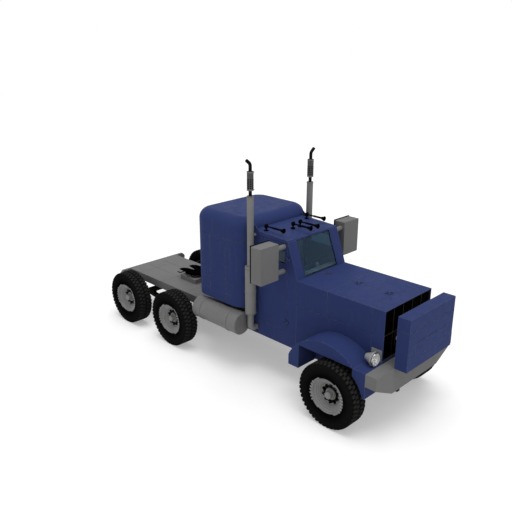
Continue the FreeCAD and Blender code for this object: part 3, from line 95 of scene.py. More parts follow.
class Nodes:
    """Short calls that build a node tree."""

    def __init__(self, tree):
        self.tree = tree

    def plug(self, socket, value):
        """Links a socket to another node's output, or sets its value."""
        if isinstance(value, bpy.types.NodeSocket):
            self.tree.links.new(value, socket)
        else:
            socket.default_value = (*value, 1) if socket.type == "RGBA" else value

    def set(self, node, **inputs):
        for name, value in inputs.items():
            self.plug(node.inputs[name.replace("_", " ")], value)
        return node

    def add(self, kind, settings=None, **inputs):
        node = self.tree.nodes.new("ShaderNode" + kind)
        for name, value in (settings or {}).items():
            setattr(node, name, value)
        return self.set(node, **inputs)

    def spread(self, value, low, high, to_low, to_high):
        """Maps low..high to to_low..to_high, and holds the ends."""
        node = self.add("MapRange", Value=value)
        for index, number in enumerate((low, high, to_low, to_high), 1):
            node.inputs[index].default_value = number
        return node.outputs["Result"]

    def math(self, operation, a, b=0.0):
        node = self.add("Math", {"operation": operation})
        self.plug(node.inputs[0], a)
        self.plug(node.inputs[1], b)
        return node.outputs[0]

    def product(self, first, *others):
        for value in others:
            first = self.math("MULTIPLY", first, value)
        return first

    def band(self, value, start, full, fade, end):
        """1 from full to fade, 0 before start and after end."""
        return self.product(self.spread(value, start, full, 0.0, 1.0), self.spread(value, fade, end, 1.0, 0.0))

    def blend(self, factor, first, second, mode="MIX"):
        node = self.add("Mix", {"data_type": "RGBA", "blend_type": mode})
        for index, value in ((0, factor), (6, first), (7, second)):
            self.plug(node.inputs[index], value)
        return node.outputs[2]

    def sightline(self):
        """1 for what the camera sees, straight or through glass and mirrors; 0 for light that falls on things."""
        ray = self.add("LightPath").outputs
        return self.math("MAXIMUM", ray["Is Camera Ray"],
                         self.math("MAXIMUM", ray["Is Glossy Ray"], ray["Is Transmission Ray"]))


class Shader(Nodes):
    """A node material on object coordinates, which are the row's own."""

    def __init__(self, name, colour, roughness=0.5, metallic=0.0, specular=0.5, **more):
        self.material = bpy.data.materials.new(name)
        self.material.use_nodes = True
        super().__init__(self.material.node_tree)
        self.bsdf = self.tree.nodes["Principled BSDF"]
        self.colour = colour
        self.look(Base_Color=colour, Roughness=roughness, Metallic=metallic, Specular_IOR_Level=specular, **more)
        self.place = self.add("TexCoord").outputs["Object"]

    def look(self, **inputs):
        self.set(self.bsdf, **inputs)

    def stretched(self, scale):
        return self.add("Mapping", Vector=self.place, Scale=scale).outputs["Vector"]

    def noise(self, scale, detail=3.0, place=None):
        node = self.add("TexNoise", Vector=place or self.place, Scale=scale, Detail=detail, Roughness=0.55)
        return node.outputs["Fac"]

    def axes(self):
        return self.add("SeparateXYZ", Vector=self.place).outputs

    def polar(self, middle):
        """Distance from the axle line through the middle, and the heading round it."""
        _, y, z = self.axes()
        dy, dz = self.math("SUBTRACT", y, middle.y), self.math("SUBTRACT", z, middle.z)
        square = self.math("ADD", self.product(dy, dy), self.product(dz, dz))
        return self.math("SQRT", square), self.math("ARCTAN2", dz, dy)

    def tint(self, amount, scale=1.3):
        """Slow lighter and darker patches over the colour."""
        cloud = self.spread(self.noise(scale), 0.3, 0.7, 1 - amount, 1 + amount)
        grey = self.add("CombineXYZ", X=cloud, Y=cloud, Z=cloud).outputs[0]
        return self.blend(1.0, self.colour, grey, "MULTIPLY")

    def gloss(self, value, low, high):
        """Roughness from low to high over the middle of a pattern."""
        self.look(Roughness=self.spread(value, 0.3, 0.7, low, high))

    def relief(self, height, strength, distance, edge=0.0):
        """Bump from a height, over edges that look rounded by that radius."""
        node = self.add("Bump", Height=height, Strength=strength, Distance=distance)
        if edge:
            self.set(node, Normal=self.softened(edge))
        self.look(Normal=node.outputs["Normal"])

    def softened(self, radius):
        """Normals as if the edges were rounded."""
        return self.add("Bevel", {"samples": 4}, Radius=radius).outputs["Normal"]

    def rubbed_and_highlit(self, colour, tone, amount):
        """Paint made lighter along edges, in patches: partly rubbed wear, partly a painted edge highlight."""
        dot = self.add("VectorMath", {"operation": "DOT_PRODUCT"})
        self.plug(dot.inputs[0], self.softened(0.009))
        self.plug(dot.inputs[1], self.add("NewGeometry").outputs["Normal"])
        edge = self.spread(dot.outputs["Value"], 0.99, 0.88, 0.0, amount)
        patch = self.spread(self.noise(22.0, 5), 0.35, 0.60, 0.25, 1.0)
        return self.blend(self.product(edge, patch), colour, tone)

    def dust(self, colour, top, amount):
        """Road dust that thins out with height."""
        height = self.spread(self.axes()["Z"], 0.2, top, 1.0, 0.0)
        patch = self.spread(self.noise(5.0, 6), 0.35, 0.75, 0.0, 1.0)
        return self.blend(self.product(height, patch, amount), colour, srgb(120, 112, 100))


def paint(name, colour, dust=0.12, roughness=0.5):
    """Sprayed enamel: faint cloudiness, orange peel, road film low down, edges lighter from wear and a painted
    edge highlight.
    """
    s = Shader(name, colour, specular=0.03)
    base = s.dust(s.tint(0.05), 1.3, dust)
    streak = s.spread(s.noise(14.0, 5, s.stretched((1, 1, 0.12))), 0.6, 0.85, 0.0, 0.05)
    # paler colour for the edges: worn paint, and a painted edge highlight
    worn = tuple(0.62 * v + 0.16 for v in colour)
    s.look(Base_Color=s.rubbed_and_highlit(s.blend(streak, base, srgb(150)), worn, 0.7))
    s.gloss(s.noise(9.0, 5), roughness - 0.06, roughness + 0.1)
    s.relief(s.noise(260.0, 2), 0.06, 0.002, 0.004)
    return s.material


def metal(name, colour, roughness=0.42, metallic=0.1, brush=(1, 1, 1), dust=0.1, specular=0.08):
    """Turned or brushed metal: fine lines along one direction, stains, slightly dull patches."""
    s = Shader(name, colour, metallic=metallic, specular=specular)
    s.look(Base_Color=s.dust(s.tint(0.08, 6.0), 1.4, dust))
    lines = s.noise(60.0, 4, s.stretched(brush))
    s.gloss(lines, roughness - 0.08, roughness + 0.12)
    s.relief(lines, 0.10, 0.001, 0.003)
    return s.material


def rough_iron(name, colour, roughness=0.7, grain=90.0, dust=0.4, specular=0.05):
    """Cast and forged running gear: sand-cast grain under black paint and dirt."""
    s = Shader(name, colour, specular=specular)
    s.look(Base_Color=s.dust(s.tint(0.15, 8.0), 1.3, dust))
    s.gloss(s.noise(20.0), roughness - 0.1, roughness + 0.12)
    s.relief(s.noise(grain, 6), 0.35, 0.003, 0.004)
    return s.material


def moulded(name, colour, roughness=0.6, grain=420.0, specular=0.06):
    """Moulded plastic or rubber with a leather-like grain."""
    s = Shader(name, colour, specular=specular)
    s.look(Base_Color=s.tint(0.05, 3.0))
    cells = s.add("TexVoronoi", Vector=s.place, Scale=grain).outputs["Distance"]
    s.gloss(s.noise(30.0), roughness - 0.05, roughness + 0.08)
    s.relief(cells, 0.12, 0.001, 0.003)
    return s.material


def woven(name, colour, other):
    """Seat cloth: two crossing sets of threads with a heather mix."""
    s = Shader(name, colour, roughness=0.9, specular=0.15, Sheen_Weight=0.3, Sheen_Roughness=0.5)
    x, y, z = s.axes()
    warp = s.math("SINE", s.product(s.math("ADD", x, y), 900.0))
    weft = s.math("SINE", s.product(s.math("SUBTRACT", z, y), 900.0))
    threads = s.product(warp, weft)
    mask = s.spread(s.math("ADD", threads, s.spread(s.noise(220.0), 0.3, 0.7, -0.5, 0.5)), -1.0, 1.0, 0.0, 1.0)
    s.look(Base_Color=s.blend(mask, s.colour, other))
    s.relief(threads, 0.3, 0.001)
    return s.material


def tinted_glass(name, colour, bend, sheen=(1.0, 1.0, 1.0), clear=1.0):
    """Glass pane: its colour is what a ray through it keeps, and sheen tints what it mirrors."""
    s = Shader(name, colour, Transmission_Weight=clear, IOR=bend, Specular_Tint=sheen)
    s.look(Roughness=s.spread(s.noise(4.0, 5), 0.4, 0.8, 0.02, 0.12))
    s.relief(s.noise(3.0, 1), 0.02, 0.002)
    return s.material


def rubber(name, middle, radius):
    """Tyre: black near the rim, greyer worn tread, dirty patches, fine moulded rings on the sidewall."""
    s = Shader(name, srgb(12), specular=0.0)
    r, _ = s.polar(middle)
    worn = s.spread(r, radius - 0.02, radius - 0.003, 0.0, 1.0)
    scuff = s.spread(s.noise(30.0, 6), 0.3, 0.7, 0.6, 1.0)
    black = s.blend(s.spread(r, 0.33, radius - 0.09, 0.0, 1.0), srgb(5), srgb(22))
    dirty = s.blend(s.spread(s.noise(7.0, 5), 0.4, 0.75, 0.0, 0.3), black, srgb(24, 23, 21))
    s.look(Base_Color=s.blend(s.product(worn, scuff), dirty, srgb(46, 46, 45)))
    s.gloss(s.noise(50.0), 0.62, 0.85)
    rings = s.math("SINE", s.product(r, 900.0))
    side = s.spread(r, radius - 0.09, radius - 0.07, 1.0, 0.0)
    s.relief(s.math("ADD", s.product(rings, side, 0.25), s.noise(300.0, 4)), 0.25, 0.0015)
    return s.material


def rim_metal(name, middle, facing):
    """Painted steel wheel: light face, painted shade in the recessed pit and ten notches round the hub, and black
    behind the disc for the dark drum and painted shade.
    """
    s = Shader(name, srgb(136), metallic=0.1, specular=0.06)
    r, heading = s.polar(middle)
    out = s.product(s.math("SUBTRACT", s.axes()["X"], middle.x), facing)
    # painted shade: the recessed pit round the hub is darkened
    pit_shade = s.product(s.band(r, 0.098, 0.103, 0.150, 0.158), s.spread(out, 0.028, 0.034, 1.0, 0.0))
    # painted shade: ten dark notches round the hub, in the recess
    wave = s.math("COSINE", s.product(heading, 10.0))
    notch_shade = s.product(s.band(r, 0.100, 0.104, 0.168, 0.172), s.spread(wave, 0.35, 0.55, 1.0, 0.0))
    # black behind the disc: the dark drum, and painted shade seen through the holes
    behind = s.spread(out, -0.004, 0.004, 1.0, 0.0)
    shade_and_drum_black = s.math("MAXIMUM", s.math("MAXIMUM", pit_shade, notch_shade), behind)
    rust = s.spread(s.noise(45.0, 6), 0.66, 0.78, 0.0, 0.5)
    face = s.blend(rust, s.dust(s.tint(0.06, 9.0), 1.2, 0.3), srgb(84, 70, 58))
    s.look(Base_Color=s.blend(shade_and_drum_black, face, srgb(10)))
    s.gloss(s.noise(40.0), 0.34, 0.5)
    s.relief(s.noise(240.0, 3), 0.08, 0.001, 0.003)
    return s.material


def stack_look():
    """One material for the stacks: grey pipe, darker silencer, black thin pipes, by height."""
    s = Shader("stack_finish", srgb(132), metallic=0.05, specular=0.06)
    z = s.axes()["Z"]
    lines = s.noise(60.0, 4, s.stretched((1, 1, 0.04)))
    heat = s.spread(s.noise(3.0, 4), 0.35, 0.7, 0.0, 0.25)
    grey = s.blend(heat, s.tint(0.06, 6.0), srgb(116, 112, 106))
    thin = s.spread(z, PIPE_TOP - 0.001, PIPE_TOP + 0.001, 0.0, 1.0)
    can = s.band(z, CAN_LOW - 0.001, CAN_LOW + 0.001, CAN_HIGH - 0.001, CAN_HIGH + 0.001)
    s.look(Base_Color=s.blend(can, s.blend(thin, grey, srgb(12)), srgb(84)))
    s.gloss(lines, 0.36, 0.55)
    s.relief(lines, 0.12, 0.001, 0.003)
    return s.material


TRUCK_BLUE = paint("truck_blue", srgb(48, 60, 106))
TRUCK_GREY = paint("truck_grey", srgb(117), dust=0.10)
FRAME_BLACK = paint("frame_black", srgb(26, 26, 28), dust=0.3, roughness=0.55)
RUNNING_GEAR = rough_iron("running_gear", srgb(30, 29, 28), dust=0.25)
GREASED = rough_iron("greased_plate", srgb(4), roughness=0.8, grain=40.0, dust=0.0, specular=0.0)
STACK_METAL = metal("stack_metal", srgb(118), metallic=0.12, brush=(1, 1, 0.03))
TANK_METAL = metal("tank_metal", srgb(120), metallic=0.15, brush=(1, 0.03, 1), dust=0.15)
CHROME = metal("chrome", srgb(205), roughness=0.16, metallic=0.9, dust=0.0, specular=0.5)
STEEL = metal("bright_steel", srgb(140), metallic=0.3, dust=0.05)
CLAMP_METAL = metal("clamp_metal", srgb(150), roughness=0.4, metallic=0.2)
LAMP_SHELL = metal("lamp_shell", srgb(150), roughness=0.5, metallic=0.15)
LAMP_SILVER = metal("lamp_silver", srgb(240), roughness=0.4, metallic=0.35, dust=0.0, specular=0.5)
MIRROR_SILVER = metal("mirror_silver", srgb(225), roughness=0.06, metallic=1.0, dust=0.0, specular=0.5)
WIRE = metal("wire_edge", srgb(74, 68, 50), metallic=0.2, dust=0.0)
BLACK_PLASTIC = moulded("black_plastic", srgb(8), specular=0.02)
# Black for the clamp beds, and painted shade for the silencers' punched holes.
HOLE_BLACK = moulded("hole_black", srgb(4), specular=0.01)
DIAL_BLACK = moulded("dial_face", srgb(20, 24, 24), roughness=0.3, specular=0.2)
RUBBER = moulded("black_rubber", srgb(10), roughness=0.75, grain=700.0, specular=0.02)
DASH_PLASTIC = moulded("dash_plastic", srgb(214, 212, 204))
LINER = moulded("cab_liner", srgb(206, 210, 206), roughness=0.8, grain=500.0, specular=0.03)
RED_LENS = moulded("red_lens", srgb(150, 16, 14), roughness=0.2, grain=160.0, specular=0.5)
SEAT_CLOTH = woven("seat_cloth", srgb(176, 186, 172), srgb(120, 134, 124))
BUNK_CLOTH = woven("bunk_cloth", srgb(70, 74, 84), srgb(46, 48, 56))
SCREEN_GLASS = tinted_glass("screen_glass", (0.32, 0.42, 0.50), 1.42, (0.10, 0.38, 0.75))
DOOR_GLASS = tinted_glass("door_glass", (0.022, 0.055, 0.080), 1.45, (0.45, 0.75, 1.0))
LENS_GLASS = tinted_glass("lens_glass", (0.96, 0.96, 0.96), 1.3, clear=0.95)


# ---------------------------------------------------------------- mesh helpers

def stand_up(name, mesh):
    """An object in the scene from a bmesh, which ends there."""
    data = bpy.data.meshes.new(name)
    bmesh.ops.recalc_face_normals(mesh, faces=mesh.faces)
    mesh.to_mesh(data)
    mesh.free()
    piece = bpy.data.objects.new(name, data)
    scene.collection.objects.link(piece)
    return piece


def show(name, mesh, material, body, smooth):
    """A piece from a bmesh: placed, shaded and riding."""
    piece = stand_up(name, mesh)
    piece.data.materials.append(material)
    piece.data.shade_smooth()
    piece.data.set_sharp_from_angle(angle=math.radians(smooth))
    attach(piece, body)
    return piece


def add_box(mesh, low, high, bevel=0.0, turn=None):
    """A box with its edges rounded off, added to a bmesh."""
    made = bmesh.ops.create_cube(mesh, size=1.0)["verts"]
    low, high = Vector(low), Vector(high)
    for v in made:
        v.co = Vector((low[i] + (v.co[i] + 0.5) * (high[i] - low[i]) for i in range(3)))
    if bevel:
        edges = list({e for v in made for e in v.link_edges})
        made = bmesh.ops.bevel(mesh, geom=edges, offset=bevel, segments=2, profile=0.5, affect="EDGES")["verts"]
    if turn:
        bmesh.ops.transform(mesh, matrix=turn, verts=made)


def add_turned(mesh, profile, count, place, arc=TAU):
    """Revolves (along, radius) points about local Z, then moves them by the matrix."""
    steps = count if arc == TAU else count + 1
    rings = []
    for i in range(steps):
        a = arc * i / count
        rings.append([mesh.verts.new(place @ Vector((r * math.cos(a), r * math.sin(a), h))) for h, r in profile])
    for i in range(count):
        one, two = rings[i], rings[(i + 1) % steps]
        for j in range(len(profile) - 1):
            mesh.faces.new((one[j], two[j], two[j + 1], one[j + 1]))


def along(axis, origin):
    """Matrix that takes local Z to a direction at a place."""
    return Matrix.Translation(Vector(origin)) @ Vector(axis).to_track_quat("Z", "Y").to_matrix().to_4x4()


def add_stud(mesh, origin, axis, radius, height, sides=6, dome=0.35):
    """A bolt head or rivet: a prism with a raised, chamfered top."""
    profile = [(0, radius), (height * (1 - dome), radius), (height, radius * 0.72), (height, 0.0001)]
    add_turned(mesh, profile, sides, along(axis, origin))


def add_loft(mesh, sections, caps=True):
    """Skins rings of equal length, each a closed list of points."""
    rings = [[mesh.verts.new(Vector(p)) for p in section] for section in sections]
    for one, two in zip(rings, rings[1:]):
        for j in range(len(one)):
            k = (j + 1) % len(one)
            mesh.faces.new((one[j], one[k], two[k], two[j]))
    if caps:
        mesh.faces.new(rings[0][::-1])
        mesh.faces.new(rings[-1])


def add_tube(mesh, points, radius, sides=12):
    """A bent rod through points, with its corners mitred."""
    points = [Vector(p) for p in points]
    sections = []
    side = None
    for i, p in enumerate(points):
        ahead = (points[min(i + 1, len(points) - 1)] - points[max(i - 1, 0)]).normalized()
        side = (side - side.dot(ahead) * ahead).normalized() if side else ahead.orthogonal().normalized()
        up = ahead.cross(side)
        turns = [TAU * k / sides for k in range(sides)]
        sections.append([p + radius * (math.cos(a) * side + math.sin(a) * up) for a in turns])
    add_loft(mesh, sections)


# ---------------------------------------------------------------- wheels

WHEELS = [f"{row}_{side}" for row in ("front", "mid", "rear") for side in ("left", "right")]
PITCHES = 44            # lug pitches round a tyre
GROOVE = 0.026          # depth of the tread
CUT_SHARES = {"lug": 1.0, "tip": 0.4, "rib": 0.8}
BED_HALF = 0.52         # half the arc of a clamp bed, in radians
CLAMP_STEP = 0.175      # from clamp to clamp, in radians
FLANGE_OUT = 0.1316     # a flange's outer face, from the tyre's middle


def tyre_rows(half, radius):
    """Across the tyre: along the axle, radius, what the row is, and which side it is on."""
    bead = 0.318
    side = [
        (0.394, bead, ""), (0.402, bead + 0.006, ""), (0.43, bead + 0.012, ""), (0.455, bead + 0.022, ""),
        (0.462, bead + 0.034, ""), (0.474, bead + 0.04, ""), (0.484, bead + 0.07, ""), (0.495, bead + 0.11, ""),
        (0.498, bead + 0.125, ""), (0.499, bead + 0.14, ""), (0.494, bead + 0.15, ""), (0.494, radius - 0.085, ""),
        (0.499, radius - 0.08, ""), (0.499, radius - 0.068, ""), (0.49, radius - 0.064, ""),
        (0.488, radius - 0.05, "tip"), (0.483, radius - 0.03, "lug"), (0.475, radius - 0.016, "lug"),
        (0.458, radius - 0.006, "lug"), (0.435, radius - 0.0015, "lug"), (0.36, radius, "lug"),
        (0.285, radius, "lug"), (0.28, radius, "split"), (0.262, radius, "split"), (0.257, radius, "rib"),
        (0.15, radius, "rib"), (0.06, radius, "rib"), (0.055, radius, "split"), (0.03, radius, "split"),
    ]
    rows = [(-u * 2 * half, r, kind, -1) for u, r, kind in side]
    return rows + [(u * 2 * half, r, kind, 1) for u, r, kind in reversed(side)]


def tread_cut(kind, gap, hand):
    """How deep a row is cut in one of a pitch's two gaps: shoulders and ribs, left and right take turns."""
    if kind == "split":
        return 0.7 * GROOVE
    wanted = 1 if (hand > 0) == (kind != "rib") else 2
    return CUT_SHARES.get(kind, 0.0) * GROOVE if gap == wanted else 0.0


def tyre(name):
    """A lugged tyre: two rows of blocks down the middle, cross bars that run over the shoulders."""
    cad = Span("tyre_" + name)
    radius, half = cad.size.z / 2, cad.size.x / 2
    rows = tyre_rows(half, radius)
    mesh = bmesh.new()
    rings = []
    for pitch in range(PITCHES):
        for share, gap in ((0.0, 0), (0.04, 1), (0.36, 1), (0.40, 0), (0.5, 0), (0.54, 2), (0.86, 2), (0.90, 0)):
            ring = []
            for x, r, kind, hand in rows:
                cut = tread_cut(kind, gap, hand)
                slant = 0.30 * math.copysign(1, x) * (abs(x) / half - 0.5) if kind else 0.0
                a = TAU * (pitch + share + slant * hand_of(name)) / PITCHES
                drawn_in = 0.98 if kind == "tip" and cut else 1.0
                ring.append(mesh.verts.new((cad.middle.x + x * drawn_in, cad.middle.y + (r - cut) * math.cos(a),
                                            cad.middle.z + (r - cut) * math.sin(a))))
            rings.append(ring)
    for one, two in zip(rings, rings[1:] + rings[:1]):
        for j in range(len(one) - 1):
            mesh.faces.new((one[j], one[j + 1], two[j + 1], two[j]))
    look = rubber("rubber_" + name, cad.middle, radius)
    piece = show("tread_" + name, mesh, look, body_of("tyre_" + name), 28)
    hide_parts("tyre_" + name)


def wheel_trim(name):
    """Dark beds on the flange, in front of and behind the hub, with seven bolted clamps on each."""
    rim, facing, body = Span("rim_" + name), hand_of(name), body_of("rim_" + name)
    outward = (facing, 0, 0)
    middle = Vector((Span("tyre_" + name).middle.x, rim.middle.y, rim.middle.z))
    lip = middle + Vector((facing * FLANGE_OUT, 0, 0))
    flange = rim.size.z / 2
    outline = [(0.1320, 0.2995), (0.1336, 0.3045), (0.1336, flange + 0.002), (0.1360, flange + 0.014),
               (0.1300, flange + 0.016)]
    beds, clamps = bmesh.new(), bmesh.new()
    for heading in (0.0, math.pi):
        start = Matrix.Rotation(heading - BED_HALF + math.pi / 2, 4, "Z")
        add_turned(beds, outline, 32, along(outward, middle) @ start, arc=2 * BED_HALF)
        for k in range(-3, 4):
            a = heading + k * CLAMP_STEP
            turn = Matrix.Translation(lip) @ Matrix.Rotation(a - math.pi / 2, 4, "X")
            near = min(0.0, facing * 0.012)
            add_box(clamps, (near, -0.014, 0.292), (near + 0.012, 0.014, flange + 0.013), 0.003, turn)
            spot = lip + Vector((facing * 0.011, flange * math.cos(a), flange * math.sin(a)))
            add_stud(clamps, spot, outward, 0.008, 0.007)
    show("clamp_beds_" + name, beds, HOLE_BLACK, body, 35)
    show("clamps_" + name, clamps, CLAMP_METAL, body, 35)


for wheel in WHEELS:
    tyre(wheel)
    wheel_trim(wheel)


# ---------------------------------------------------------------- CAD nodes' materials

def dress(nodes, material):
    """Gives CAD nodes a material, by their names in one line."""
    for name in nodes.split():
        data = NODES[name].data
        data.materials.clear()
        data.materials.append(material)


dress("hood_spine hood_left hood_right side_panels fenders cab_shell cab_roof door_left door_right sleeper"
      " front_box box_lid grille_shell", TRUCK_BLUE)
dress("bumper box_bars deck mirror_left mirror_right tail_bar", TRUCK_GREY)
dress("chassis_frame tow_eyes", FRAME_BLACK)
dress("front_axle drive_axles suspension engine knuckle_left knuckle_right tie_rod", RUNNING_GEAR)
dress("fifth_wheel_plate", GREASED)
dress("fuel_tanks tank_brackets", TANK_METAL)
dress("exhaust_stacks", stack_look())
dress("headlamps", LAMP_SHELL)
dress("grille air_horns pedals steering_wheel", BLACK_PLASTIC)
dress("windscreen", SCREEN_GLASS)
dress("door_glass_left door_glass_right", DOOR_GLASS)
dress("dashboard", DASH_PLASTIC)
dress("tail_lamps", RED_LENS)
for wheel in WHEELS:
    dress("rim_" + wheel, rim_metal("rim_metal_" + wheel, Span("rim_" + wheel).middle, hand_of(wheel)))


# ---------------------------------------------------------------- front end

def grille_trim():
    """Wire edges on the grille's bars and border, and the thin fins between them."""
    grille = Span("grille")
    wires, fins = bmesh.new(), bmesh.new()
    y = grille.y0 - 0.003
    inset = 0.009
    posts = [grille.middle.x + part * grille.size.x / 10 for part in (-3, -1, 1, 3)]
    posts = [grille.x0 + inset, *posts, grille.x1 - inset]
    for x in posts:
        add_box(wires, (x - 0.003, y - 0.003, grille.z0 + 0.004), (x + 0.003, y + 0.004, grille.z1 - 0.004), 0.001)
    for z in (grille.z0 + inset, grille.middle.z, grille.z1 - inset):
        add_box(wires, (grille.x0 + 0.004, y - 0.003, z - 0.003), (grille.x1 - 0.004, y + 0.004, z + 0.003), 0.001)
    z = grille.z0 + 0.04
    front = grille.y0 + 0.010
    while z < grille.z1 - 0.03:
        spot = Matrix.Translation((0, front, z))
        turn = spot @ Matrix.Rotation(math.radians(-25), 4, "X") @ spot.inverted()
        if abs(z - grille.middle.z) > 0.02:
            for left, right in zip(posts, posts[1:]):
                low, high = (left + 0.010, front, z - 0.004), (right - 0.010, front + 0.018, z + 0.001)
                add_box(fins, low, high, 0.0008, turn)
        z += 0.026
    show("grille_wires", wires, WIRE, "chassis", 30)
    show("grille_fins", fins, BLACK_PLASTIC, "chassis", 30)


def box_handles():
    """D-shaped loops with a toggle latch behind both rear corners of the front box."""
    box = Span("front_box")
    back = Span("bumper").y0
    low, high = HANDLE_LOW, HANDLE_HIGH
    middle = (low + high) / 2
    outer = [(low, 0.0), (low + 0.045, 0.052), (high - 0.045, 0.052), (high, 0.0)]
    inner = [(low + 0.040, 0.0), (low + 0.062, 0.030), (high - 0.062, 0.030), (high - 0.040, 0.0)]
    outline = [(back + d, z) for z, d in outer + inner[::-1]]
    loops, latches = bmesh.new(), bmesh.new()
    for x0 in (box.x0 + 0.010, box.x1 - 0.052):
        sides = [[(x, y, z) for y, z in outline] for x in (x0, x0 + 0.042)]
        add_loft(loops, sides, caps=False)
        for side in sides:
            ring = [loops.verts.new(p) for p in side]
            for k in range(3):
                loops.faces.new((ring[k], ring[k + 1], ring[6 - k], ring[7 - k]))
        add_box(latches, (x0 + 0.006, back, middle - 0.050), (x0 + 0.036, back + 0.012, middle + 0.050), 0.003)
        toggle = ((0.010, -0.035), (0.026, -0.015), (0.026, 0.015), (0.010, 0.035))
        add_tube(latches, [(x0 + 0.021, back + d, middle + rise) for d, rise in toggle], 0.006)
    bmesh.ops.remove_doubles(loops, verts=loops.verts, dist=1e-5)
    show("box_loops", loops, RUBBER, "chassis", 30)
    show("box_latches", latches, STEEL, "chassis", 35)


def bumper_trim():
    """Black rubber lip under the chin, which also stands for the shadow line under it, and carriage bolts near the
    bumper's ends and middle.
    """
    bumper = Span("bumper")
    x, y = bumper.middle.x, bumper.y0
    shadow_lip, bolts = bmesh.new(), bmesh.new()
    # rubber lip, and a dark stand-in for the shadow line under the chin
    add_box(shadow_lip, (x - 0.60, y + 0.020, bumper.z0 - 0.016), (x + 0.60, y + 0.075, bumper.z0 + 0.001), 0.005)
    for aside in (-0.95, -0.30, 0.30, 0.95):
        for z in (bumper.z1 - 0.06, bumper.z1 - 0.15):
            add_stud(bolts, (x + aside, y + 0.001, z), (0, -1, 0), 0.011, 0.006, 16, 0.8)
    show("chin_shadow_lip", shadow_lip, RUBBER, "chassis", 35)
    show("bumper_bolts", bolts, TRUCK_GREY, "chassis", 40)


def lamp_glass():
    """Reflector bowl with its bulb, lens and bright rim in both headlamps."""
    lamps = Span("headlamps")
    lens, bowl, rims = bmesh.new(), bmesh.new(), bmesh.new()
    quarter = [math.pi / 2 * (1 - k / 8) for k in range(8)]
    dome = [(-0.004 + 0.012 * math.cos(a), 0.098 * math.sin(a)) for a in quarter] + [(0.008, 0.0001)]
    for x in (-LAMP_X, LAMP_X):
        place = along((0, -1, 0), (x, lamps.y0, lamps.z0 + 0.1145))
        add_turned(lens, dome, 48, place)
        add_turned(bowl, [(-0.006, 0.096), (-0.030, 0.088), (-0.048, 0.070), (-0.056, 0.045), (-0.060, 0.016),
                          (-0.040, 0.014), (-0.034, 0.009), (-0.032, 0.0001)], 40, place)
        add_turned(rims, [(-0.001, 0.116), (0.004, 0.115), (0.006, 0.108), (0.004, 0.100), (-0.003, 0.098)],
                   48, place)
    show("lamp_lenses", lens, LENS_GLASS, "chassis", 40)
    show("lamp_bowls", bowl, LAMP_SILVER, "chassis", 40)
    show("lamp_rims", rims, CHROME, "chassis", 40)


grille_trim()
box_handles()
bumper_trim()
lamp_glass()


# ---------------------------------------------------------------- cab outside

def mirror_trim(side):
    """Mirror glass set in the back of a housing, with a black lip round it."""
    cad, hand, body = Span("mirror_" + side), hand_of(side), body_of("mirror_" + side)
    x1, z0, z1, y = max(-cad.x0, cad.x1), cad.z0, cad.z1, cad.y1
    x0 = x1 - 0.429
    outer = [(x0 - 0.012, z0 - 0.004), (x1 + 0.003, z0 - 0.004),
             (x1 + 0.003, z1 + 0.011), (x0 - 0.012, z1 + 0.011)]
    inner = [(x0 + 0.024, z0 + 0.024), (x1 - 0.024, z0 + 0.024),
             (x1 - 0.024, z1 - 0.024), (x0 + 0.024, z1 - 0.024)]
    lip, glass = bmesh.new(), bmesh.new()
    steps = ((-0.006, outer), (0.020, outer), (0.026, inner), (-0.002, inner))
    add_loft(lip, [[(hand * x, y + depth, z) for x, z in outline] for depth, outline in steps], caps=False)
    bmesh.ops.bevel(lip, geom=list(lip.edges), offset=0.003, segments=2, affect="EDGES")
    shares = [k / 10 for k in range(11)]
    grid = []
    for u in shares:
        x = hand * (x0 + 0.023 + u * (x1 - x0 - 0.046))
        bulge = [0.006 * (1 - (2 * u - 1) ** 2) * (1 - (2 * v - 1) ** 2) for v in shares]
        grid.append([glass.verts.new((x, y - 0.010 + rise, z0 + 0.023 + v * (z1 - z0 - 0.046)))
                     for v, rise in zip(shares, bulge)])
    for one, two in zip(grid, grid[1:]):
        for j in range(len(one) - 1):
            glass.faces.new((one[j], two[j], two[j + 1], one[j + 1]))
    show("mirror_lip_" + side, lip, RUBBER, body, 30)
    show("mirror_glass_" + side, glass, MIRROR_SILVER, body, 40)


def bead_round(name, ring, body):
    """Rubber bead along a closed ring of points."""
    bead = bmesh.new()
    for one, two in zip(ring, ring[1:] + ring[:1]):
        add_tube(bead, [one, two], 0.006, 8)
    show(name, bead, RUBBER, body, 50)


def pane_beads():
    """Beads round the leaning windscreen and round both door panes."""
    pane = Span("windscreen")
    lean = (pane.y1 - pane.y0 - 0.006) / pane.size.z
    ring = []
    for x, z, inset in ((pane.x0, pane.z0, 0.006), (pane.x1, pane.z0, 0.006),
                        (pane.x1, pane.z1, -0.006), (pane.x0, pane.z1, -0.006)):
        ring.append((x * 0.994, pane.y0 + (z - pane.z0) * lean - 0.002, z + inset))
    bead_round("screen_bead", ring, "chassis")
    for side in ("left", "right"):
        pane = Span("door_glass_" + side)
        x = pane.middle.x + hand_of(side) * 0.006
        y0, y1, z0, z1 = pane.y0 + 0.005, pane.y1 - 0.005, pane.z0 + 0.005, pane.z1 - 0.005
        bead_round("pane_bead_" + side, [(x, y0, z0), (x, y1, z0), (x, y1, z1), (x, y0, z1)],
                   body_of("door_" + side))


mirror_trim("left")
mirror_trim("right")
pane_beads()


# ---------------------------------------------------------------- stacks and deck

BAND_BOLT = -2.4        # heading of the left stack's band bolts: inwards and forwards
CAN_SKIN = 0.0578       # radius just off a silencer's surface


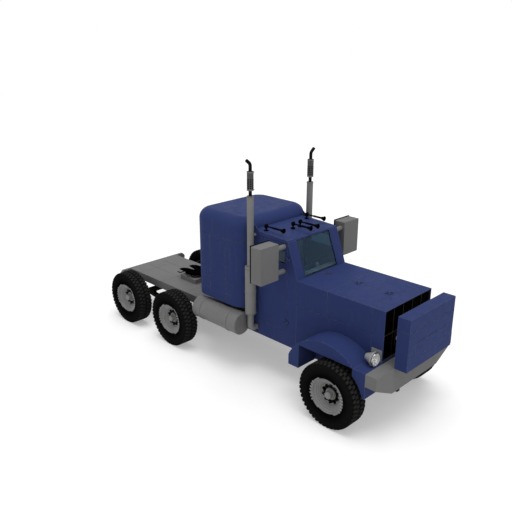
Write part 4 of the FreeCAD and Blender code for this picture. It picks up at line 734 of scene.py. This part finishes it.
def stack_trim():
    """Painted shade in the silencers' punched holes, as thin black discs, and the bands with their bolts."""
    hole_shade, bands = bmesh.new(), bmesh.new()
    bolt = Vector((math.cos(BAND_BOLT), math.sin(BAND_BOLT), 0))
    for hand in (-1, 1):
        centre = Vector((hand * STACK_X, STACK_Y, 0))
        for k in range(10):
            a = TAU * (k + 0.5) / 10
            out = Vector((math.cos(a), math.sin(a), 0))
            for row in range(5):
                spot = centre + CAN_SKIN * out + Vector((0, 0, CAN_LOW + 0.050 + row * 0.036))
                # a thin black disc: painted shade inside a punched hole
                add_stud(hole_shade, spot, out, 0.0125, 0.0012, 10, 0.5)
        for z, r in ((PIPE_TOP - 0.012, 0.060), (CAN_LOW + 0.012, 0.058), (CAN_HIGH - 0.012, 0.058),
                     (2.052, 0.100), (1.185, 0.100)):
            height = Vector((0, 0, z))
            add_turned(bands, [(-0.012, r + 0.0004), (-0.011, r + 0.003), (0.011, r + 0.003), (0.012, r + 0.0004)],
                       48, Matrix.Translation(centre + height))
            out = Vector((hand * bolt.x, bolt.y, 0))
            add_stud(bands, centre + height + (r + 0.002) * out, out, 0.008, 0.014)
    show("silencer_hole_shade", hole_shade, HOLE_BLACK, "chassis", 30)
    show("stack_bands", bands, STACK_METAL, "chassis", 35)


def deck_studs():
    """Countersunk bolts along the deck plates' edges, clear of the fifth wheel's plinth."""
    deck = Span("deck")
    half = deck.size.x / 2 - 0.03
    top = Span("tail_bar").z1
    clear = 0.30        # the plinth's reach from the kingpin lock
    bolts = bmesh.new()
    y = Span("sleeper").y1 + 0.14
    while y < deck.y1 - 0.04:
        for x in (-half, -0.215, 0.185, half):
            if abs(x) > clear or y > HITCH_Y + clear:
                add_stud(bolts, (x, y, top), (0, 0, 1), 0.010, 0.003, 12, 0.7)
        y += 0.18
    show("deck_bolts", bolts, TRUCK_GREY, "chassis", 40)


stack_trim()
deck_studs()


# ---------------------------------------------------------------- cab inside

def liner():
    """Pale trim panels inside the cab: rear wall round the way to the sleeper, and the headlining."""
    trim = bmesh.new()
    back = AXLE_Y + 2.132
    low, high, half = 1.040, 2.640, 0.600
    hatch_x, hatch_low, hatch_high = 0.445, 1.390, 2.450
    for x0, x1, z0, z1 in ((-half, -hatch_x, low, high), (hatch_x, half, low, high),
                           (-hatch_x, hatch_x, hatch_high, high), (-hatch_x, hatch_x, low, hatch_low)):
        add_box(trim, (x0, back - 0.008, z0), (x1, back, z1), 0.003)
    for x in (-0.30, 0.0, 0.30):
        add_box(trim, (x - 0.1425, AXLE_Y + 1.46, high + 0.008), (x + 0.1425, back - 0.012, high + 0.020), 0.004)
    show("cab_trim", trim, LINER, "chassis", 35)


def gauges():
    """Blank dials with bright rims in the dash, on both sides of the steering column."""
    dials, rims = bmesh.new(), bmesh.new()
    top, low = Vector((0, AXLE_Y + 1.435, 2.007)), Vector((0, AXLE_Y + 1.385, 1.723))
    facing = Vector((0, 0.985, -0.173))
    for x, share, radius in ((0.20, 0.28, 0.055), (0.40, 0.28, 0.055), (0.11, 0.30, 0.026), (0.11, 0.55, 0.026),
                             (0.49, 0.30, 0.026), (0.49, 0.55, 0.026), (-0.05, 0.30, 0.030), (-0.15, 0.30, 0.030)):
        place = along(facing, top.lerp(low, share) + Vector((x, 0, 0)) + facing * 0.0005)
        add_turned(dials, [(0.001, radius), (0.002, radius * 0.5), (0.002, 0.0001)], 32, place)
        add_turned(rims, [(0, radius + 0.004), (0.005, radius + 0.003), (0.006, radius - 0.001),
                          (0.001, radius - 0.002)], 32, place)
    show("dash_dials", dials, DIAL_BLACK, "chassis", 30)
    show("dash_rims", rims, STEEL, "chassis", 40)


def bake(piece):
    """Applies a piece's modifiers to its mesh."""
    done = bpy.data.meshes.new_from_object(piece.evaluated_get(bpy.context.evaluated_depsgraph_get()))
    piece.modifiers.clear()
    piece.data = done


def inflated(piece):
    """Where a piece's points go when it is blown up as cloth, without gravity."""
    cloth = piece.modifiers.new("cloth", "CLOTH")
    cloth.settings.use_pressure = True
    cloth.settings.uniform_pressure_force = 4.0
    cloth.settings.effector_weights.gravity = 0.0
    cloth.settings.quality = 4
    cloth.point_cache.frame_start = 1
    cloth.point_cache.frame_end = 20
    for step in range(1, 21):
        scene.frame_set(step)
    shown = piece.evaluated_get(bpy.context.evaluated_depsgraph_get())
    moved = [v.co.copy() for v in shown.data.vertices]
    piece.modifiers.remove(cloth)
    scene.frame_set(1)
    return moved


def pad(name, low, high, material, cap, sewn, across=0, turn=None, voxel=0.012):
    """A stuffed pad: a rounded block, blown up, no point moved past the cap, then its sewn lines drawn in.

    Sewn lines are places along axis `across` of the unturned block.
    """
    low, high = Vector(low), Vector(high)
    size, middle = high - low, (low + high) / 2
    inset = Vector.Fill(3, cap * 0.6)
    mesh = bmesh.new()
    add_box(mesh, low + inset, high - inset)
    bmesh.ops.bevel(mesh, geom=list(mesh.edges), offset=min(size) * 0.22, segments=4, profile=0.5, affect="EDGES")
    piece = stand_up(name, mesh)
    remesh = piece.modifiers.new("grid", "REMESH")
    remesh.mode = "VOXEL"
    remesh.voxel_size = voxel
    bake(piece)
    start = [v.co.copy() for v in piece.data.vertices]
    moved = inflated(piece)
    for v, was, now in zip(piece.data.vertices, start, moved):
        shift = now - was
        v.co = was + (shift.normalized() * cap if shift.length > cap else shift)
    piece.data.update()
    for v in piece.data.vertices:
        for line in sewn:
            v.co = v.co - v.normal * 0.014 * math.exp(-((v.co[across] - line) / 0.010) ** 2)
    if turn:
        piece.data.transform(turn)
    smooth = piece.modifiers.new("smooth", "SUBSURF")
    smooth.levels = smooth.render_levels = 1
    bake(piece)
    piece.data.materials.append(material)
    piece.data.shade_smooth()
    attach(piece, "chassis")
    return piece


def seat(side):
    """Driver's or passenger's seat: metal stand with a bellows, stuffed cushion and back."""
    x = 0.300 * hand_of(side)
    y0 = AXLE_Y + 1.560
    stand = bmesh.new()
    add_box(stand, (x - 0.190, y0 + 0.090, 1.0235), (x + 0.190, y0 + 0.410, 1.060), 0.006)
    folds = []
    for k in range(7):
        grow = 0.0 if k % 2 else 0.018
        folds.append([(x + sx * (0.150 + grow), y0 + 0.250 + sy * (0.120 + grow), 1.060 + k * 0.030)
                      for sx, sy in ((-1, -1), (1, -1), (1, 1), (-1, 1))])
    add_loft(stand, folds)
    add_box(stand, (x - 0.195, y0 + 0.030, 1.240), (x + 0.195, y0 + 0.420, 1.300), 0.010)
    show("seat_stand_" + side, stand, BLACK_PLASTIC, "chassis", 35)
    cushion = pad("seat_cushion_" + side, (x - 0.213, y0 + 0.004, 1.303), (x + 0.213, y0 + 0.385, 1.4605),
                  SEAT_CLOTH, cap=0.018, sewn=(x - 0.12, x + 0.12))
    hinge = Matrix.Translation((x, y0 + 0.392, 1.440))
    lean = hinge @ Matrix.Rotation(math.radians(-9.5), 4, "X") @ hinge.inverted()
    rest = pad("seat_back_" + side, (x - 0.213, y0 + 0.345, 1.440), (x + 0.213, y0 + 0.450, 2.050),
               SEAT_CLOTH, cap=0.014, sewn=(1.62, 1.78, 1.93), across=2, turn=lean)
    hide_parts("seats")
    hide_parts("seats")


def bunk():
    """Bunk box that follows the sleeper's round corners, with a quilted mattress on it."""
    cad = Span("bunk")
    corner = 0.310
    x0, x1, y1 = cad.x0 + 0.004, cad.x1 - 0.004, cad.y1 - 0.004
    outline = [(x0, cad.y0), (x1, cad.y0)]
    for middle, start in ((x1 - corner, 0.0), (x0 + corner, math.pi / 2)):
        turns = [start + math.pi / 2 * k / 8 for k in range(9)]
        outline += [(middle + corner * math.cos(a), y1 - corner + corner * math.sin(a)) for a in turns]
    ledge = cad.z1 - 0.150
    base = bmesh.new()
    add_loft(base, [[(x, y, z) for x, y in outline] for z in (cad.z0 + 0.002, ledge)])
    box = show("bunk_box", base, DASH_PLASTIC, "chassis", 30)
    mattress = pad("mattress", (cad.x0 + 0.10, cad.y0 + 0.01, ledge + 0.002),
                   (cad.x1 - 0.10, cad.y1 - 0.07, cad.z1 - 0.002), BUNK_CLOTH, cap=0.030,
                   sewn=(-0.45, -0.15, 0.15, 0.45), voxel=0.022)
    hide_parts("bunk")
    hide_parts("bunk")


liner()
gauges()
seat("left")
seat("right")
bunk()


# ---------------------------------------------------------------- air horns

def horn_trim():
    """Diaphragm housings at the horns' tails, sleeves on their trumpets, rolled lips on their bells."""
    parts = bmesh.new()
    z = 2.8105          # height of the trumpets' middles
    backwards = Matrix.Rotation(-math.pi / 2, 4, "X")
    for x, tail, bell in ((0.545, 2.020, 1.580), (0.095, 1.790, 1.355)):
        for hand in (-1, 1):
            place = Matrix.Translation((hand * x, AXLE_Y + tail - 0.046, z)) @ backwards
            add_turned(parts, [(0, 0.020), (0.004, 0.036), (0.012, 0.040), (0.014, 0.044), (0.022, 0.044),
                               (0.024, 0.038), (0.044, 0.034), (0.048, 0.020), (0.048, 0.0001)], 28, place)
            place = Matrix.Translation((hand * x, AXLE_Y + bell, z)) @ backwards
            add_turned(parts, [(-0.004, 0.039), (-0.006, 0.043), (-0.002, 0.047), (0.004, 0.046), (0.008, 0.040)],
                       36, place)
            add_turned(parts, [(0.100, 0.017), (0.150, 0.019), (0.240, 0.019), (0.270, 0.016)], 20, place)
    show("horn_trim", parts, BLACK_PLASTIC, "chassis", 35)


horn_trim()


# ---------------------------------------------------------------- floor, light and camera

floor = bpy.data.objects.new("floor", bpy.data.meshes.new("floor"))
ground = bmesh.new()
bmesh.ops.create_grid(ground, x_segments=1, y_segments=1, size=60)
ground.to_mesh(floor.data)
ground.free()
scene.collection.objects.link(floor)
pale = Shader("pale_floor", (0.80, 0.80, 0.80), roughness=0.9, specular=0.0)
glow = pale.add("Emission", Strength=pale.product(pale.sightline(), 0.3))
both = pale.add("AddShader")
pale.plug(both.inputs[0], pale.bsdf.outputs[0])
pale.plug(both.inputs[1], glow.outputs[0])
pale.set(pale.tree.nodes["Material Output"], Surface=both.outputs[0])
floor.data.materials.append(pale.material)

world = bpy.data.worlds.new("sky")
scene.world = world
world.use_nodes = True
sky = Nodes(world.node_tree)
sky.set(sky.tree.nodes["Background"], Color=(1, 1, 1), Strength=sky.spread(sky.sightline(), 0.0, 1.0, 0.55, 1.0))


def sun(name, strength, spread, direction):
    lamp = bpy.data.lights.new(name, "SUN")
    lamp.energy = strength
    lamp.angle = math.radians(spread)
    item = bpy.data.objects.new(name, lamp)
    item.rotation_euler = Vector(direction).to_track_quat("-Z", "Y").to_euler()
    scene.collection.objects.link(item)


sun("overhead", 1.35, 40, (0.05, 0.12, -1))
sun("front_fill", 0.25, 40, (0.2, 1, -0.5))

camera = bpy.data.objects.new("camera", bpy.data.cameras.new("camera"))
camera.data.sensor_width = 36.0
camera.data.lens = 43.456
camera.data.clip_end = 200
camera.location = (-8.021, -7.8255, 5.919)
turn, drop = math.radians(45.0), math.radians(19.414)
sight = Vector((math.sin(turn) * math.cos(drop), math.cos(turn) * math.cos(drop), -math.sin(drop)))
camera.rotation_euler = sight.to_track_quat("-Z", "Y").to_euler()
scene.collection.objects.link(camera)
scene.camera = camera
scene.view_settings.view_transform = "Standard"
